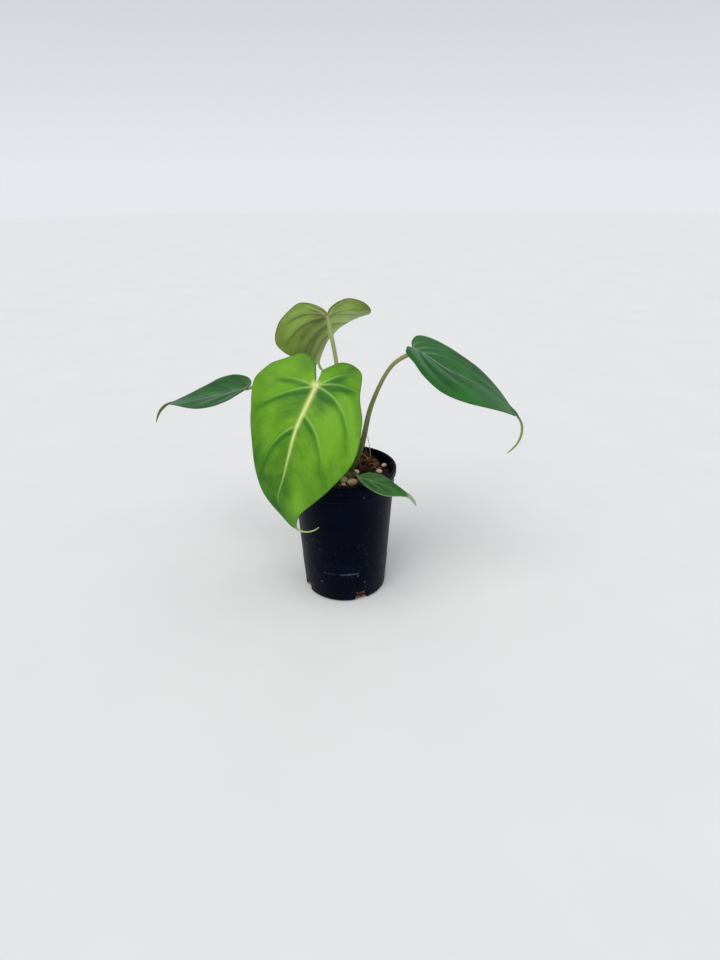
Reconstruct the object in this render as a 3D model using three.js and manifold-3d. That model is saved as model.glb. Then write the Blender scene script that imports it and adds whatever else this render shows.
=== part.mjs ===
// A young heart-leaved philodendron in its black nursery pot.
// Millimetres, +Z up. The origin is the middle of the pot's underside, on the surface it stands on.
// -Y is the side of the broad front leaf, and +X is the side of the long right leaf.
import * as THREE from "three";
import { mergeVertices } from "three/addons/utils/BufferGeometryUtils.js";
import Module from "manifold-3d";

const wasm = await Module();
wasm.setup();

// Driving dimensions of the pot, a 100 mm deep nursery pot.
const RIM_RADIUS = 50;
const BASE_RADIUS = 40;
const POT_HEIGHT = 129;
const LIP_HEIGHT = 6;
const LIP_OVERHANG = 1.85;
const COLLAR_HEIGHT = 10;
const COLLAR_STEP = 0.45;
const WALL = 1.3;
const FLOOR = 1.8;
const TAPER = 0.0674;
const RING_Z = 33;
const RING_STEP = 0.35;
const BOTTOM_ROUND = 2.2;
const POT_SEGMENTS = 56;
const NOTCH = { count: 4, width: 12.5, height: 10.5, round: 2.5, depth: 7, firstAzimuth: -66 };

// The potting mix, its mean level and the clearance that touching pieces keep.
const GAP = 0.35;
const SOIL_LEVEL = 117.5;
const SOIL_MOUNDS = [
  { at: [0, 0], radius: 30, height: 2.5 },
  { at: [18, 33], radius: 24, height: 7 },
];
const SOIL_SECTORS = 36;
const SOIL_RINGS = 8;

// The creeping stem, its two ends and its girth.
const RHIZOME = { from: [15, -11, 117], to: [-17, 10, 118.5], radius: 6.2, sides: 10, steps: 14 };

// Leaves: a shell of this thickness, with a keel under the midrib.
const BLADE_THICKNESS = 0.8;
const KEEL = { share: 0.7, loss: 0.75, tipShare: 0.22, tipLoss: 0.5 };
const TIP_END_WIDTH = 0.5;
const TIP_TAPER = 0.6;
const TIP_STEPS = 11;
const TIP_FOLD = { from: 0.93, full: 1.1, loss: 0.6 };
const SPINE_STEP = 0.01;
const LOBE_REACH = 0.3;
const BLADE_END = 1.03;
const VEIN_ARCH = 24;
const VEIN_ARCH_FADE = 0.3;
const VEIN_CLEAR_OF_MIDRIB = 0.04;
const FAN_SHARE = 0.5;
const MIDRIB_POWER = 1.3;
const COLUMNS = [0, 0.07, 0.24, 0.43, 0.62, 0.81, 1];
const ROWS_PER_VEIN = 2;
const QUILT = { reach: 0.86, power: 0.8, tipFade: 1.6 };
const PETIOLE = { sides: 8, step: 9, leastSteps: 6, taper: 1.4 };

const rad = THREE.MathUtils.degToRad;
const vec = ([x, y, z]) => new THREE.Vector3(x, y, z);

// Outlines of one half blade, from the top of the lobe round to the drip tip.
// Each point is a share of the half width across and a share of the blade length along.
const OUTLINES = {
  broadLeft: [
    [0.02, -0.095], [0.33, -0.185], [0.67, -0.155], [0.79, 0.0], [0.99, 0.14],
    [1.09, 0.36], [0.86, 0.61], [0.57, 0.78], [0.245, 0.91], [0.04, 1.03],
  ],
  broadRight: [
    [0.11, -0.125], [0.37, -0.175], [0.7, -0.105], [0.94, -0.035], [1.1, 0.11],
    [0.96, 0.33], [0.76, 0.52], [0.525, 0.76], [0.23, 0.91], [0.04, 1.03],
  ],
  heartLeft: [
    [0.1, -0.09], [0.42, -0.245], [0.68, -0.155], [0.93, 0.01], [1.08, 0.2],
    [0.99, 0.37], [0.79, 0.54], [0.56, 0.77], [0.28, 0.92], [0.08, 1.03],
  ],
  heartRight: [
    [0.12, -0.11], [0.42, -0.21], [0.75, -0.16], [0.95, -0.04], [0.99, 0.13],
    [0.97, 0.35], [0.82, 0.57], [0.6, 0.785], [0.31, 0.92], [0.1, 1.03],
  ],
  longLeft: [
    [0.15, 0.02], [0.43, 0.0], [0.7, 0.025], [0.95, 0.08], [1.05, 0.22],
    [0.92, 0.43], [0.79, 0.63], [0.5, 0.83], [0.21, 0.95], [0.075, 1.03],
  ],
  longRight: [
    [0.1, -0.06], [0.45, -0.07], [0.69, -0.005], [0.93, 0.08], [1.07, 0.24],
    [0.97, 0.44], [0.745, 0.635], [0.47, 0.815], [0.21, 0.955], [0.075, 1.03],
  ],
  narrowLeft: [
    [0.14, -0.03], [0.5, -0.035], [0.85, -0.01], [1.02, 0.05], [1.07, 0.22],
    [0.98, 0.43], [0.77, 0.61], [0.47, 0.8], [0.19, 0.95], [0.07, 1.03],
  ],
  narrowRight: [
    [0.12, -0.02], [0.36, 0.0], [0.64, 0.05], [0.9, 0.14], [1.06, 0.3],
    [0.95, 0.46], [0.68, 0.58], [0.4, 0.74], [0.18, 0.9], [0.07, 1.03],
  ],
  lanceLeft: [
    [0.16, 0.0], [0.42, 0.02], [0.68, 0.08], [0.9, 0.18], [1.0, 0.31],
    [0.93, 0.45], [0.74, 0.6], [0.52, 0.76], [0.33, 0.91], [0.2, 1.03],
  ],
  lanceRight: [
    [0.1, 0.02], [0.36, 0.08], [0.62, 0.17], [0.86, 0.28], [1.0, 0.41],
    [1.03, 0.53], [0.93, 0.66], [0.66, 0.79], [0.36, 0.92], [0.2, 1.03],
  ],
};

// Each leaf starts where its petiole meets it. heading is yaw, pitch and roll in degrees there.
// droop, swing and twist are the degrees that the midrib turns down, left and round in each half of its length.
// The drip tip has its own length, turns and fold.
// fold is how far each half is raised from the midrib, and curl how much it bends on out to its edge.
const LEAVES = [
  {
    name: "front",
    base: [-20.2, -46.8, 223.5],
    length: 131,
    halfWidth: [48.6, 48],
    heading: [-121, -51, -20.5],
    droop: [24, 33.5],
    swing: [-20, 46],
    twist: [8, 8],
    fold: [1, -3.5],
    curl: [-12.5, -5],
    lobeDroop: 0,
    tip: { length: 22, droop: 69, swing: 86, fold: 20 },
    outline: ["broadLeft", "broadRight"],
    veins: 8,
    quilt: 1.5,
    color: 0x5f9e2a,
    petiole: { via: [[-5, -13, 150], [-12, -28, 195]], foot: [-3, -4, 119], radii: [3, 2.1] },
  },
  {
    name: "back",
    base: [-12.3, 20.9, 266],
    length: 99,
    halfWidth: [47.9, 39.7],
    heading: [89, -35.5, 3.5],
    droop: [-4, 8.5],
    swing: [2, 26],
    twist: [-18, -54],
    fold: [-6, 20.5],
    curl: [-19, -24],
    lobeDroop: -6,
    tip: { length: 17, droop: 37, swing: -21, fold: 8 },
    outline: ["heartLeft", "heartRight"],
    veins: 8,
    quilt: 1.3,
    color: 0x7d9a4a,
    petiole: { via: [[-1.5, 7, 165], [-5, 13.5, 223.5]], foot: [-4, 5, 120], radii: [2.9, 1.9] },
  },
  {
    name: "right",
    base: [62, -5.8, 241],
    length: 118,
    halfWidth: [37.3, 40],
    heading: [3, -27.5, 13.5],
    droop: [1, 18.7],
    swing: [2.2, -1.5],
    twist: [11, -11],
    fold: [4, 10.3],
    curl: [-11.7, -23],
    lobeDroop: 0,
    tip: { length: 41.5, droop: 97.5, swing: -19.7, fold: 60 },
    outline: ["longLeft", "longRight"],
    veins: 7,
    quilt: 1.1,
    color: 0x2f7a35,
    petiole: { via: [[16.6, -2.4, 148], [26.6, -3.7, 191], [44.4, -5.1, 227]], foot: [5, 0, 119], radii: [3.3, 1.8] },
  },
  {
    name: "left",
    base: [-92.9, 44.8, 190.9],
    length: 94.5,
    halfWidth: [31.3, 30.4],
    heading: [164, -12.3, -3.5],
    droop: [2.7, 6.2],
    swing: [-3, 2],
    twist: [-18.5, 16.7],
    fold: [11, 6],
    curl: [-16.4, -5],
    lobeDroop: 0,
    tip: { length: 24.5, droop: 59, swing: 27, fold: 25 },
    outline: ["narrowLeft", "narrowRight"],
    veins: 6,
    quilt: 1.0,
    color: 0x2f7338,
    petiole: { via: [[-20, 10, 158], [-52, 27, 188], [-78, 39, 196]], foot: [-11, 5, 120], radii: [2.8, 1.35] },
  },
  {
    name: "young",
    base: [14.2, -38.1, 133.6],
    length: 44.5,
    halfWidth: [14.1, 14.2],
    heading: [-17.5, -3, 1.5],
    droop: [13.7, 9.7],
    swing: [0, 6.7],
    twist: [4.4, 7],
    fold: [6.5, 5],
    curl: [-10.3, -7.5],
    lobeDroop: 0,
    tip: { length: 13, droop: 40, swing: -17, fold: 15 },
    outline: ["lanceLeft", "lanceRight"],
    veins: 5,
    quilt: 0.5,
    color: 0x3d8045,
    petiole: { via: [[12.5, -21, 128.5]], foot: [10, -6, 120], radii: [1.9, 1.2] },
  },
];

// Loose pieces that lie on top of the mix: place, radius in each direction and turn about Z.
const PEBBLES = [
  { at: [8.3, -21.2, 120.8], size: [4.6, 4.2, 3.8], turn: 20 },
  { at: [0.9, -16.6, 121], size: [3.6, 3.4, 3.5], turn: 70 },
  { at: [0.2, -22.6, 119.2], size: [2.6, 2.2, 2], turn: 0 },
  { at: [12.5, 4.2, 119.6], size: [2, 3.4, 2.2], turn: 30 },
  { at: [37.6, 19.5, 119.8], size: [2.7, 2.3, 2.4], turn: 10 },
  { at: [33.5, 8.6, 118.2], size: [4.2, 2.4, 2], turn: -25 },
  { at: [-24, -20, 118.6], size: [4.4, 3.6, 3.2], turn: 40 },
  { at: [-33, 8, 118.4], size: [3.8, 3.2, 3], turn: 0 },
  { at: [-12, 30, 118.5], size: [4, 3.3, 3], turn: 60 },
  { at: [21, -33, 118.4], size: [4, 3.4, 3.2], turn: 15 },
];
const CHIPS = 48;
const FIBRES = 16;

// A repeatable random number between 0 and 1.
function seeded(seed) {
  let state = seed;
  return () => {
    state = (state * 1664525 + 1013904223) % 4294967296;
    return state / 4294967296;
  };
}

// A closed triangle list from points and faces.
function geometryOf(points, faces) {
  const geometry = new THREE.BufferGeometry();
  const flat = faces.flat().flatMap((index) => points[index].toArray());
  geometry.setAttribute("position", new THREE.Float32BufferAttribute(flat, 3));
  return geometry;
}

// Any closed geometry as a solid that can be joined and cut.
function solidOf(geometry) {
  const bare = geometry.index ? geometry.toNonIndexed() : geometry.clone();
  bare.deleteAttribute("normal");
  bare.deleteAttribute("uv");
  const merged = mergeVertices(bare, 1e-3);
  return new wasm.Manifold(
    new wasm.Mesh({
      numProp: 3,
      vertProperties: new Float32Array(merged.attributes.position.array),
      triVerts: new Uint32Array(merged.index.array),
    }),
  );
}

// The largest body of a solid, without loose scraps.
function mainBody(solid) {
  return solid.decompose().reduce((best, body) => (body.volume() > best.volume() ? body : best));
}

// A named mesh of a solid or a geometry.
function meshOf(name, shape, material) {
  let geometry = shape;
  if (!shape.isBufferGeometry) {
    const { vertProperties, triVerts } = shape.getMesh();
    geometry = new THREE.BufferGeometry();
    geometry.setAttribute("position", new THREE.BufferAttribute(vertProperties, 3));
    geometry.setIndex(new THREE.BufferAttribute(triVerts, 1));
    geometry = geometry.toNonIndexed();
  }
  geometry.computeVertexNormals();
  const mesh = new THREE.Mesh(geometry, material);
  mesh.name = name;
  return mesh;
}

const finish = (color, roughness) => new THREE.MeshStandardMaterial({ color, roughness, metalness: 0 });

// A round bar along a curve, with a dome on each end. radiusAt gives its radius at a share of its length.
function bar(curve, radiusAt, sides, steps) {
  const points = [];
  const faces = [];
  const frames = curve.computeFrenetFrames(steps, false);
  const dome = [0, 0.5, 0.87];
  const stations = [];
  dome.forEach((share) => stations.push({ at: 0, share, back: -Math.sqrt(1 - share * share) }));
  for (let i = 0; i <= steps; i += 1) stations.push({ at: i / steps, share: 1, back: 0 });
  dome.slice().reverse().forEach((share) => stations.push({ at: 1, share, back: Math.sqrt(1 - share * share) }));
  stations.forEach(({ at, share, back }) => {
    const k = Math.round(at * steps);
    const radius = radiusAt(at);
    const centre = curve.getPointAt(at).addScaledVector(frames.tangents[k], back * radius);
    for (let j = 0; j < sides; j += 1) {
      const angle = (2 * Math.PI * j) / sides;
      points.push(
        centre
          .clone()
          .addScaledVector(frames.normals[k], Math.cos(angle) * share * radius)
          .addScaledVector(frames.binormals[k], Math.sin(angle) * share * radius),
      );
    }
  });
  for (let i = 0; i + 1 < stations.length; i += 1)
    for (let j = 0; j < sides; j += 1) {
      const [a, b] = [i * sides + j, i * sides + ((j + 1) % sides)];
      const [c, d] = [a + sides, b + sides];
      if (stations[i].share > 0) faces.push([a, b, d]);
      if (stations[i + 1].share > 0) faces.push([a, d, c]);
    }
  return geometryOf(points, faces);
}

// The outer radius of the pot's tapered wall at a height.
const wallRadius = (z) => BASE_RADIUS + TAPER * z;

// The pot: a wall turned round Z, with a lip, a collar, a ring step, a flat floor and four notches in its edge.
function nurseryPot() {
  const lipZ = POT_HEIGHT - LIP_HEIGHT;
  const collarZ = lipZ - COLLAR_HEIGHT;
  const collar = RIM_RADIUS - LIP_OVERHANG;
  const inner = (z) => wallRadius(z) - WALL;
  const profile = [
    [0, 0],
    [BASE_RADIUS - BOTTOM_ROUND, 0],
    [BASE_RADIUS - BOTTOM_ROUND * 0.3, BOTTOM_ROUND * 0.3],
    [wallRadius(BOTTOM_ROUND), BOTTOM_ROUND],
    [wallRadius(RING_Z - 0.4) + RING_STEP, RING_Z - 0.4],
    [wallRadius(RING_Z), RING_Z],
    [wallRadius(collarZ), collarZ],
    [collar - COLLAR_STEP * 0.2, collarZ + COLLAR_STEP],
    [collar, lipZ],
    [RIM_RADIUS - 0.5, lipZ],
    [RIM_RADIUS, lipZ + 0.8],
    [RIM_RADIUS, POT_HEIGHT - 1.4],
    [RIM_RADIUS - 0.5, POT_HEIGHT - 0.4],
    [RIM_RADIUS - 1.3, POT_HEIGHT],
    [inner(lipZ) + 0.7, POT_HEIGHT],
    [inner(lipZ) + 0.3, POT_HEIGHT - 0.8],
    [inner(lipZ), lipZ],
    [inner(FLOOR + 1.5), FLOOR + 1.5],
    [inner(FLOOR) - 1.5, FLOOR],
    [0, FLOOR],
  ].map(([r, z]) => new THREE.Vector2(r, z));
  const turned = new THREE.LatheGeometry(profile, POT_SEGMENTS).rotateX(Math.PI / 2);
  let solid = solidOf(turned);
  for (let i = 0; i < NOTCH.count; i += 1) solid = solid.subtract(solidOf(notchCutter(i)));
  return meshOf("nursery_pot", mainBody(solid), finish(0x0d1019, 0.42));
}

// One drainage notch: an arch with round upper corners, cut inwards through the bottom edge.
function notchCutter(index) {
  const half = NOTCH.width / 2;
  const shape = new THREE.Shape();
  shape.moveTo(-half, -1);
  shape.lineTo(half, -1);
  shape.lineTo(half, NOTCH.height - NOTCH.round);
  shape.absarc(half - NOTCH.round, NOTCH.height - NOTCH.round, NOTCH.round, 0, Math.PI / 2, false);
  shape.absarc(-half + NOTCH.round, NOTCH.height - NOTCH.round, NOTCH.round, Math.PI / 2, Math.PI, false);
  shape.lineTo(-half, -1);
  const cutter = new THREE.ExtrudeGeometry(shape, { depth: NOTCH.depth + 4, bevelEnabled: false, curveSegments: 4 });
  const turn = rad(NOTCH.firstAzimuth + (index * 360) / NOTCH.count);
  return cutter
    .rotateX(Math.PI / 2)
    .rotateZ(Math.PI / 2)
    .translate(BASE_RADIUS - NOTCH.depth, 0, 0)
    .rotateZ(turn);
}

// Height of the mix at a place: a low mound in the middle, a higher one at the back and crossing waves.
function soilHeight(x, y) {
  const rise = ({ at, radius, height }) => height * Math.max(0, 1 - Math.hypot(x - at[0], y - at[1]) / radius);
  const mound = SOIL_MOUNDS.reduce((sum, one) => sum + rise(one), 0);
  const waves = Math.sin(0.33 * x + 1.1) * Math.cos(0.29 * y) + 0.7 * Math.sin(0.61 * x - 0.47 * y + 0.6);
  return SOIL_LEVEL + mound + 0.8 * waves;
}

// The plug of mix that fills the pot, with its uneven top.
function soilPlug() {
  const rings = [
    [wallRadius(FLOOR + GAP) - WALL - GAP - 2.2, FLOOR + GAP],
    [wallRadius(FLOOR + 2.6) - WALL - GAP, FLOOR + 2.6],
    [wallRadius(SOIL_LEVEL - 3) - WALL - GAP, SOIL_LEVEL - 3],
  ];
  const top = wallRadius(SOIL_LEVEL - 3) - WALL - GAP;
  const points = [new THREE.Vector3(0, 0, FLOOR + GAP)];
  const addRing = (radius, heightOf) => {
    for (let j = 0; j < SOIL_SECTORS; j += 1) {
      const angle = (2 * Math.PI * j) / SOIL_SECTORS;
      const [x, y] = [radius * Math.cos(angle), radius * Math.sin(angle)];
      points.push(new THREE.Vector3(x, y, heightOf(x, y)));
    }
  };
  rings.forEach(([radius, z]) => addRing(radius, () => z));
  for (let i = 0; i < SOIL_RINGS; i += 1) addRing(top * (1 - i / SOIL_RINGS), soilHeight);
  points.push(new THREE.Vector3(0, 0, soilHeight(0, 0)));
  const faces = [];
  const ringCount = rings.length + SOIL_RINGS;
  const last = points.length - 1;
  for (let j = 0; j < SOIL_SECTORS; j += 1) {
    const next = (j + 1) % SOIL_SECTORS;
    faces.push([0, 1 + next, 1 + j]);
    for (let i = 0; i + 1 < ringCount; i += 1) {
      const [a, b] = [1 + i * SOIL_SECTORS + j, 1 + i * SOIL_SECTORS + next];
      const [c, d] = [a + SOIL_SECTORS, b + SOIL_SECTORS];
      faces.push([a, b, d], [a, d, c]);
    }
    const inner = 1 + (ringCount - 1) * SOIL_SECTORS;
    faces.push([inner + j, inner + next, last]);
  }
  return solidOf(geometryOf(points, faces));
}

// A rounded stone or a bark chip, turned and laid on the mix.
function lump([x, y, z], [sx, sy, sz], turn, lean, detail) {
  return new THREE.IcosahedronGeometry(1, detail)
    .scale(sx, sy, sz)
    .rotateX(lean)
    .rotateZ(turn)
    .translate(x, y, z);
}

// Bark chips scattered over the top of the mix, larger in the middle than at the wall.
function barkChips() {
  const random = seeded(31);
  const chips = [];
  while (chips.length < CHIPS) {
    const r = 43.5 * Math.sqrt(random());
    const angle = 2 * Math.PI * random();
    const long = 2 + 2.6 * random();
    const size = [long, long * (0.55 + 0.3 * random()), 1.2 + 0.9 * random()];
    const turn = Math.PI * random();
    const lean = 0.7 * (random() - 0.5);
    const reach = r + long;
    const [x, y] = [r * Math.cos(angle), r * Math.sin(angle)];
    if (reach < 45) chips.push(lump([x, y, soilHeight(x, y) + 0.3], size, turn, lean, 0));
  }
  return chips;
}

// Wiry fibres: thin arcs with both feet in the mix, most of them at the back right.
function fibres() {
  const random = seeded(7);
  const arcs = [];
  for (let i = 0; i < FIBRES; i += 1) {
    const [cx, cy] = [20 + 22 * (random() - 0.5), 26 + 26 * (random() - 0.5)];
    const turn = 2 * Math.PI * random();
    const reach = 5 + 5 * random();
    const rise = 4 + 4 * random();
    const along = new THREE.Vector3(Math.cos(turn), Math.sin(turn), 0);
    const centre = new THREE.Vector3(cx, cy, soilHeight(cx, cy));
    const curve = new THREE.QuadraticBezierCurve3(
      centre.clone().addScaledVector(along, -reach).setZ(centre.z - 2.5),
      centre.clone().add(new THREE.Vector3(0, 0, 2 * rise)),
      centre.clone().addScaledVector(along, reach).setZ(centre.z - 2.5),
    );
    if (Math.hypot(cx, cy) + reach < 43) arcs.push(bar(curve, () => 0.5, 3, 5));
  }
  const standing = [
    [[26, 33, 116], [27, 38, 131], [21.5, 36.5, 148]],
    [[28, 31, 116], [24, 36, 133], [24.5, 38, 143]],
  ];
  standing.forEach((route) => {
    arcs.push(bar(new THREE.QuadraticBezierCurve3(...route.map(vec)), (t) => 0.55 - 0.15 * t, 3, 8));
  });
  return arcs;
}

// The mix with its chips, pebbles and fibres joined to it, and plain holes for the stems.
function substrate(stems) {
  let solid = soilPlug();
  const pebbles = PEBBLES.map(({ at, size, turn }) => lump(at, size, rad(turn), 0, 1));
  [...barkChips(), ...pebbles, ...fibres()].forEach((piece) => {
    solid = solid.add(solidOf(piece));
  });
  stems.forEach((stem) => {
    solid = solid.subtract(solidOf(stem));
  });
  return meshOf("potting_substrate", mainBody(solid), finish(0x3a2a20, 0.95));
}

// The creeping stem as a bar with low rings at its nodes. extra widens it for its bed in the mix.
function rhizomeBar(extra) {
  const [from, to] = [vec(RHIZOME.from), vec(RHIZOME.to)];
  const middle = from.clone().add(to).multiplyScalar(0.5).add(new THREE.Vector3(0, 0, 1));
  const curve = new THREE.QuadraticBezierCurve3(from, middle, to);
  const girth = (t) => RHIZOME.radius * (0.82 + 0.22 * Math.sin(Math.PI * t) + 0.06 * Math.cos(10 * Math.PI * t)) + extra;
  return bar(curve, girth, RHIZOME.sides, RHIZOME.steps);
}

// The stem with a seat for the foot of each petiole.
function rhizome(feet) {
  let solid = solidOf(rhizomeBar(0));
  feet.forEach((foot) => {
    solid = solid.subtract(solidOf(foot));
  });
  return meshOf("rhizome", mainBody(solid), finish(0x5d5a2f, 0.7));
}

// The value of a smooth curve through outline points at a share a of the way along them.
function outlinePoint(outline, a) {
  const curve = new THREE.SplineCurve(outline.map(([u, v]) => new THREE.Vector2(u, v)));
  return curve.getPoint(a);
}

// Walks a midrib from the petiole, both ways, and keeps its place and its frame at each share of the length.
// The frame is the way along, the way to the leaf's left, and the way up out of its upper face.
function walkMidrib(leaf) {
  const [yaw, pitch, roll] = leaf.heading.map(rad);
  const along = vec([Math.cos(pitch) * Math.cos(yaw), Math.cos(pitch) * Math.sin(yaw), Math.sin(pitch)]);
  const left = vec([-Math.sin(yaw), Math.cos(yaw), 0]).applyAxisAngle(along, roll);
  const tipShare = leaf.tip.length / leaf.length;
  const ratesAt = (t) => {
    if (t < 0) return [leaf.lobeDroop / 0.25, 0, 0];
    const blade = (turn) => 2 * (turn[0] * (1 - t) + turn[1] * t);
    if (t < 1) return [blade(leaf.droop), blade(leaf.swing), blade(leaf.twist)];
    const share = tipShare + BLADE_END - 1;
    return [leaf.tip.droop / share, leaf.tip.swing / share, 0];
  };
  const walk = (end) => {
    const count = Math.round(Math.abs(end) / SPINE_STEP);
    const step = end / count;
    const place = vec(leaf.base);
    const frame = { along: along.clone(), left: left.clone() };
    const stations = [{ t: 0, place: place.clone(), along: along.clone(), left: left.clone() }];
    for (let i = 0; i < count; i += 1) {
      const [droop, swing, twist] = ratesAt((i + 0.5) * step).map((rate) => rad(rate) * step);
      const before = frame.along.clone();
      const up = frame.along.clone().cross(frame.left);
      const turn = new THREE.Quaternion().setFromAxisAngle(frame.left, droop);
      turn.multiply(new THREE.Quaternion().setFromAxisAngle(up, swing));
      turn.multiply(new THREE.Quaternion().setFromAxisAngle(before, twist));
      frame.along.applyQuaternion(turn).normalize();
      frame.left.applyQuaternion(turn).normalize();
      place.addScaledVector(before.add(frame.along), 0.5 * step * leaf.length);
      stations.push({ t: (i + 1) * step, place: place.clone(), along: frame.along.clone(), left: frame.left.clone() });
    }
    return stations;
  };
  return [...walk(-LOBE_REACH).slice(1).reverse(), ...walk(BLADE_END + tipShare)];
}

// The place and frame of a walked midrib at a share t of the blade length.
function stationAt(stations, t) {
  const k = stations.findIndex((station) => station.t >= t);
  const index = k < 0 ? stations.length - 1 : Math.max(1, k);
  const [a, b] = [stations[index - 1], stations[index]];
  const share = Math.min(1, Math.max(0, (t - a.t) / (b.t - a.t)));
  const place = a.place.clone().lerp(b.place, share);
  const along = a.along.clone().lerp(b.along, share).normalize();
  const left = a.left.clone().lerp(b.left, share).normalize();
  return { place, along, left, up: along.clone().cross(left) };
}

// Brings a point of the flat leaf, u out from the midrib and v along it, to its place in space.
// Across the blade it follows an arc that starts at the fold angle and bends by the curl.
// Near the drip tip both halves fold up towards each other, and the fold eases off to the tip's end.
function placeOnLeaf(leaf, stations, side, u, v, height) {
  const half = side > 0 ? 0 : 1;
  const width = leaf.halfWidth[half];
  const alongTip = Math.max(0, v - BLADE_END * leaf.length) / leaf.tip.length;
  const folding = THREE.MathUtils.smoothstep(v / leaf.length, TIP_FOLD.from, TIP_FOLD.full) * (1 - TIP_FOLD.loss * alongTip);
  const fold = rad(leaf.fold[half] + leaf.tip.fold * folding);
  const bend = rad(leaf.curl[half]) / width;
  const out = (Math.sin(fold + bend * u) - Math.sin(fold)) / bend;
  const rise = -(Math.cos(fold + bend * u) - Math.cos(fold)) / bend;
  const { place, left, up } = stationAt(stations, v / leaf.length);
  return place.addScaledVector(left, side * out).addScaledVector(up, rise + height);
}

// One row of a half blade, from the midrib to the edge, arched like a side vein.
function flatRow(leaf, side, a) {
  const half = side > 0 ? 0 : 1;
  const width = leaf.halfWidth[half];
  const share = Math.max(0, (a - FAN_SHARE) / (1 - FAN_SHARE));
  const start = new THREE.Vector2(0, BLADE_END * share ** MIDRIB_POWER * leaf.length);
  const edge = outlinePoint(OUTLINES[leaf.outline[half]], a).multiply(new THREE.Vector2(width, leaf.length));
  const arch = rad(VEIN_ARCH * Math.min(1, (1 - a) / VEIN_ARCH_FADE));
  const chord = edge.clone().sub(start);
  const control = chord.clone().rotateAround(new THREE.Vector2(), -arch).multiplyScalar(0.5 / Math.cos(arch));
  control.add(start);
  control.x = Math.max(control.x, VEIN_CLEAR_OF_MIDRIB * width);
  return new THREE.QuadraticBezierCurve(start, control, edge);
}

// How far the keel under the midrib stands out at the petiole.
const keelDepth = (leaf) => KEEL.share * leaf.petiole.radii[1];

// The middle surface of a blade: rows of both halves, fanned from the petiole and then set along the midrib.
// Between two veins the surface is raised, and every vein lies in a valley.
// Past the blade the drip tip goes on as a narrow strip that follows the midrib.
function bladeSurface(leaf, stations) {
  const rows = leaf.veins * ROWS_PER_VEIN;
  const fine = COLUMNS.length;
  const points = [];
  const keel = [];
  const faces = [];
  [1, -1].forEach((side) => {
    const first = points.length;
    for (let i = 0; i <= rows; i += 1) {
      const a = i / rows;
      const row = flatRow(leaf, side, a);
      const crest = Math.sin(Math.PI * a * leaf.veins) ** 2;
      COLUMNS.forEach((t, j) => {
        const { x, y } = row.getPoint(t);
        const swell = Math.sin(Math.PI * Math.min(1, t * QUILT.reach) ** QUILT.power);
        const height = leaf.quilt * crest * swell * Math.min(1, QUILT.tipFade * (1 - a));
        points.push(placeOnLeaf(leaf, stations, side, x, y, height));
        keel.push(j === 0 ? keelDepth(leaf) * (1 - (KEEL.loss * Math.max(0, y)) / leaf.length) : 0);
      });
    }
    for (let i = 0; i < rows; i += 1)
      for (let j = 0; j + 1 < fine; j += 1) {
        const a = first + i * fine + j;
        const [b, c, d] = [a + 1, a + fine, a + fine + 1];
        const fan = j === 0 && points[a].distanceTo(points[c]) < 1e-6;
        const quad = fan ? [[a, b, d]] : [[a, b, d], [a, d, c]];
        quad.forEach((face) => faces.push(side > 0 ? face.slice().reverse() : face));
      }
    let last = COLUMNS.map((_, j) => first + rows * fine + j);
    const rootWidth = flatRow(leaf, side, 1).v2.x;
    for (let k = 1; k <= TIP_STEPS; k += 1) {
      const share = k / TIP_STEPS;
      const v = BLADE_END * leaf.length + share * leaf.tip.length;
      const u = Math.max(TIP_END_WIDTH, rootWidth * (1 - share ** 2) ** TIP_TAPER);
      const middle = points.push(placeOnLeaf(leaf, stations, side, 0, v, 0)) - 1;
      const edge = points.push(placeOnLeaf(leaf, stations, side, u, v, 0)) - 1;
      keel.push(KEEL.tipShare * keelDepth(leaf) * (1 - KEEL.tipLoss * share), 0);
      const strip = last.slice(1).map((index, j) => [last[j], index, middle]);
      strip.push([last[last.length - 1], edge, middle]);
      strip.forEach((face) => faces.push(side > 0 ? face.slice().reverse() : face));
      last = [middle, edge];
    }
  });
  return { points, keel, faces };
}

// Joins points that coincide, such as the midrib of both halves and the point where all first rows meet.
function weld({ points, keel, faces }) {
  const known = new Map();
  const kept = [];
  const keels = [];
  const index = points.map((point, i) => {
    const key = point.toArray().map((value) => Math.round(value * 1e4)).join(" ");
    if (!known.has(key)) {
      known.set(key, kept.length);
      kept.push(point);
      keels.push(keel[i]);
    }
    return known.get(key);
  });
  return { points: kept, keel: keels, faces: faces.map((face) => face.map((i) => index[i])) };
}

// Gives a surface its thickness: an upper and a lower face with the same triangles, and a wall round the edge.
function thicken({ points, keel, faces }) {
  const normals = points.map(() => new THREE.Vector3());
  faces.forEach(([a, b, c]) => {
    const normal = points[b].clone().sub(points[a]).cross(points[c].clone().sub(points[a]));
    [a, b, c].forEach((i) => normals[i].add(normal));
  });
  normals.forEach((normal) => normal.normalize());
  const half = BLADE_THICKNESS / 2;
  const upper = points.map((point, i) => point.clone().addScaledVector(normals[i], half));
  const lower = points.map((point, i) => point.clone().addScaledVector(normals[i], -half - keel[i]));
  const count = points.length;
  const solidFaces = [];
  const edges = new Set(faces.flatMap(([a, b, c]) => [`${a} ${b}`, `${b} ${c}`, `${c} ${a}`]));
  faces.forEach(([a, b, c]) => {
    solidFaces.push([a, b, c], [c + count, b + count, a + count]);
    [[a, b], [b, c], [c, a]].forEach(([p, q]) => {
      if (!edges.has(`${q} ${p}`)) solidFaces.push([q, p, p + count], [q, p + count, q + count]);
    });
  });
  return geometryOf([...upper, ...lower], solidFaces);
}

// A whole blade with its drip tip.
function blade(leaf, stations) {
  const shell = thicken(weld(bladeSurface(leaf, stations)));
  return meshOf(`leaf_${leaf.name}`, shell, finish(leaf.color, 0.45));
}

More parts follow.
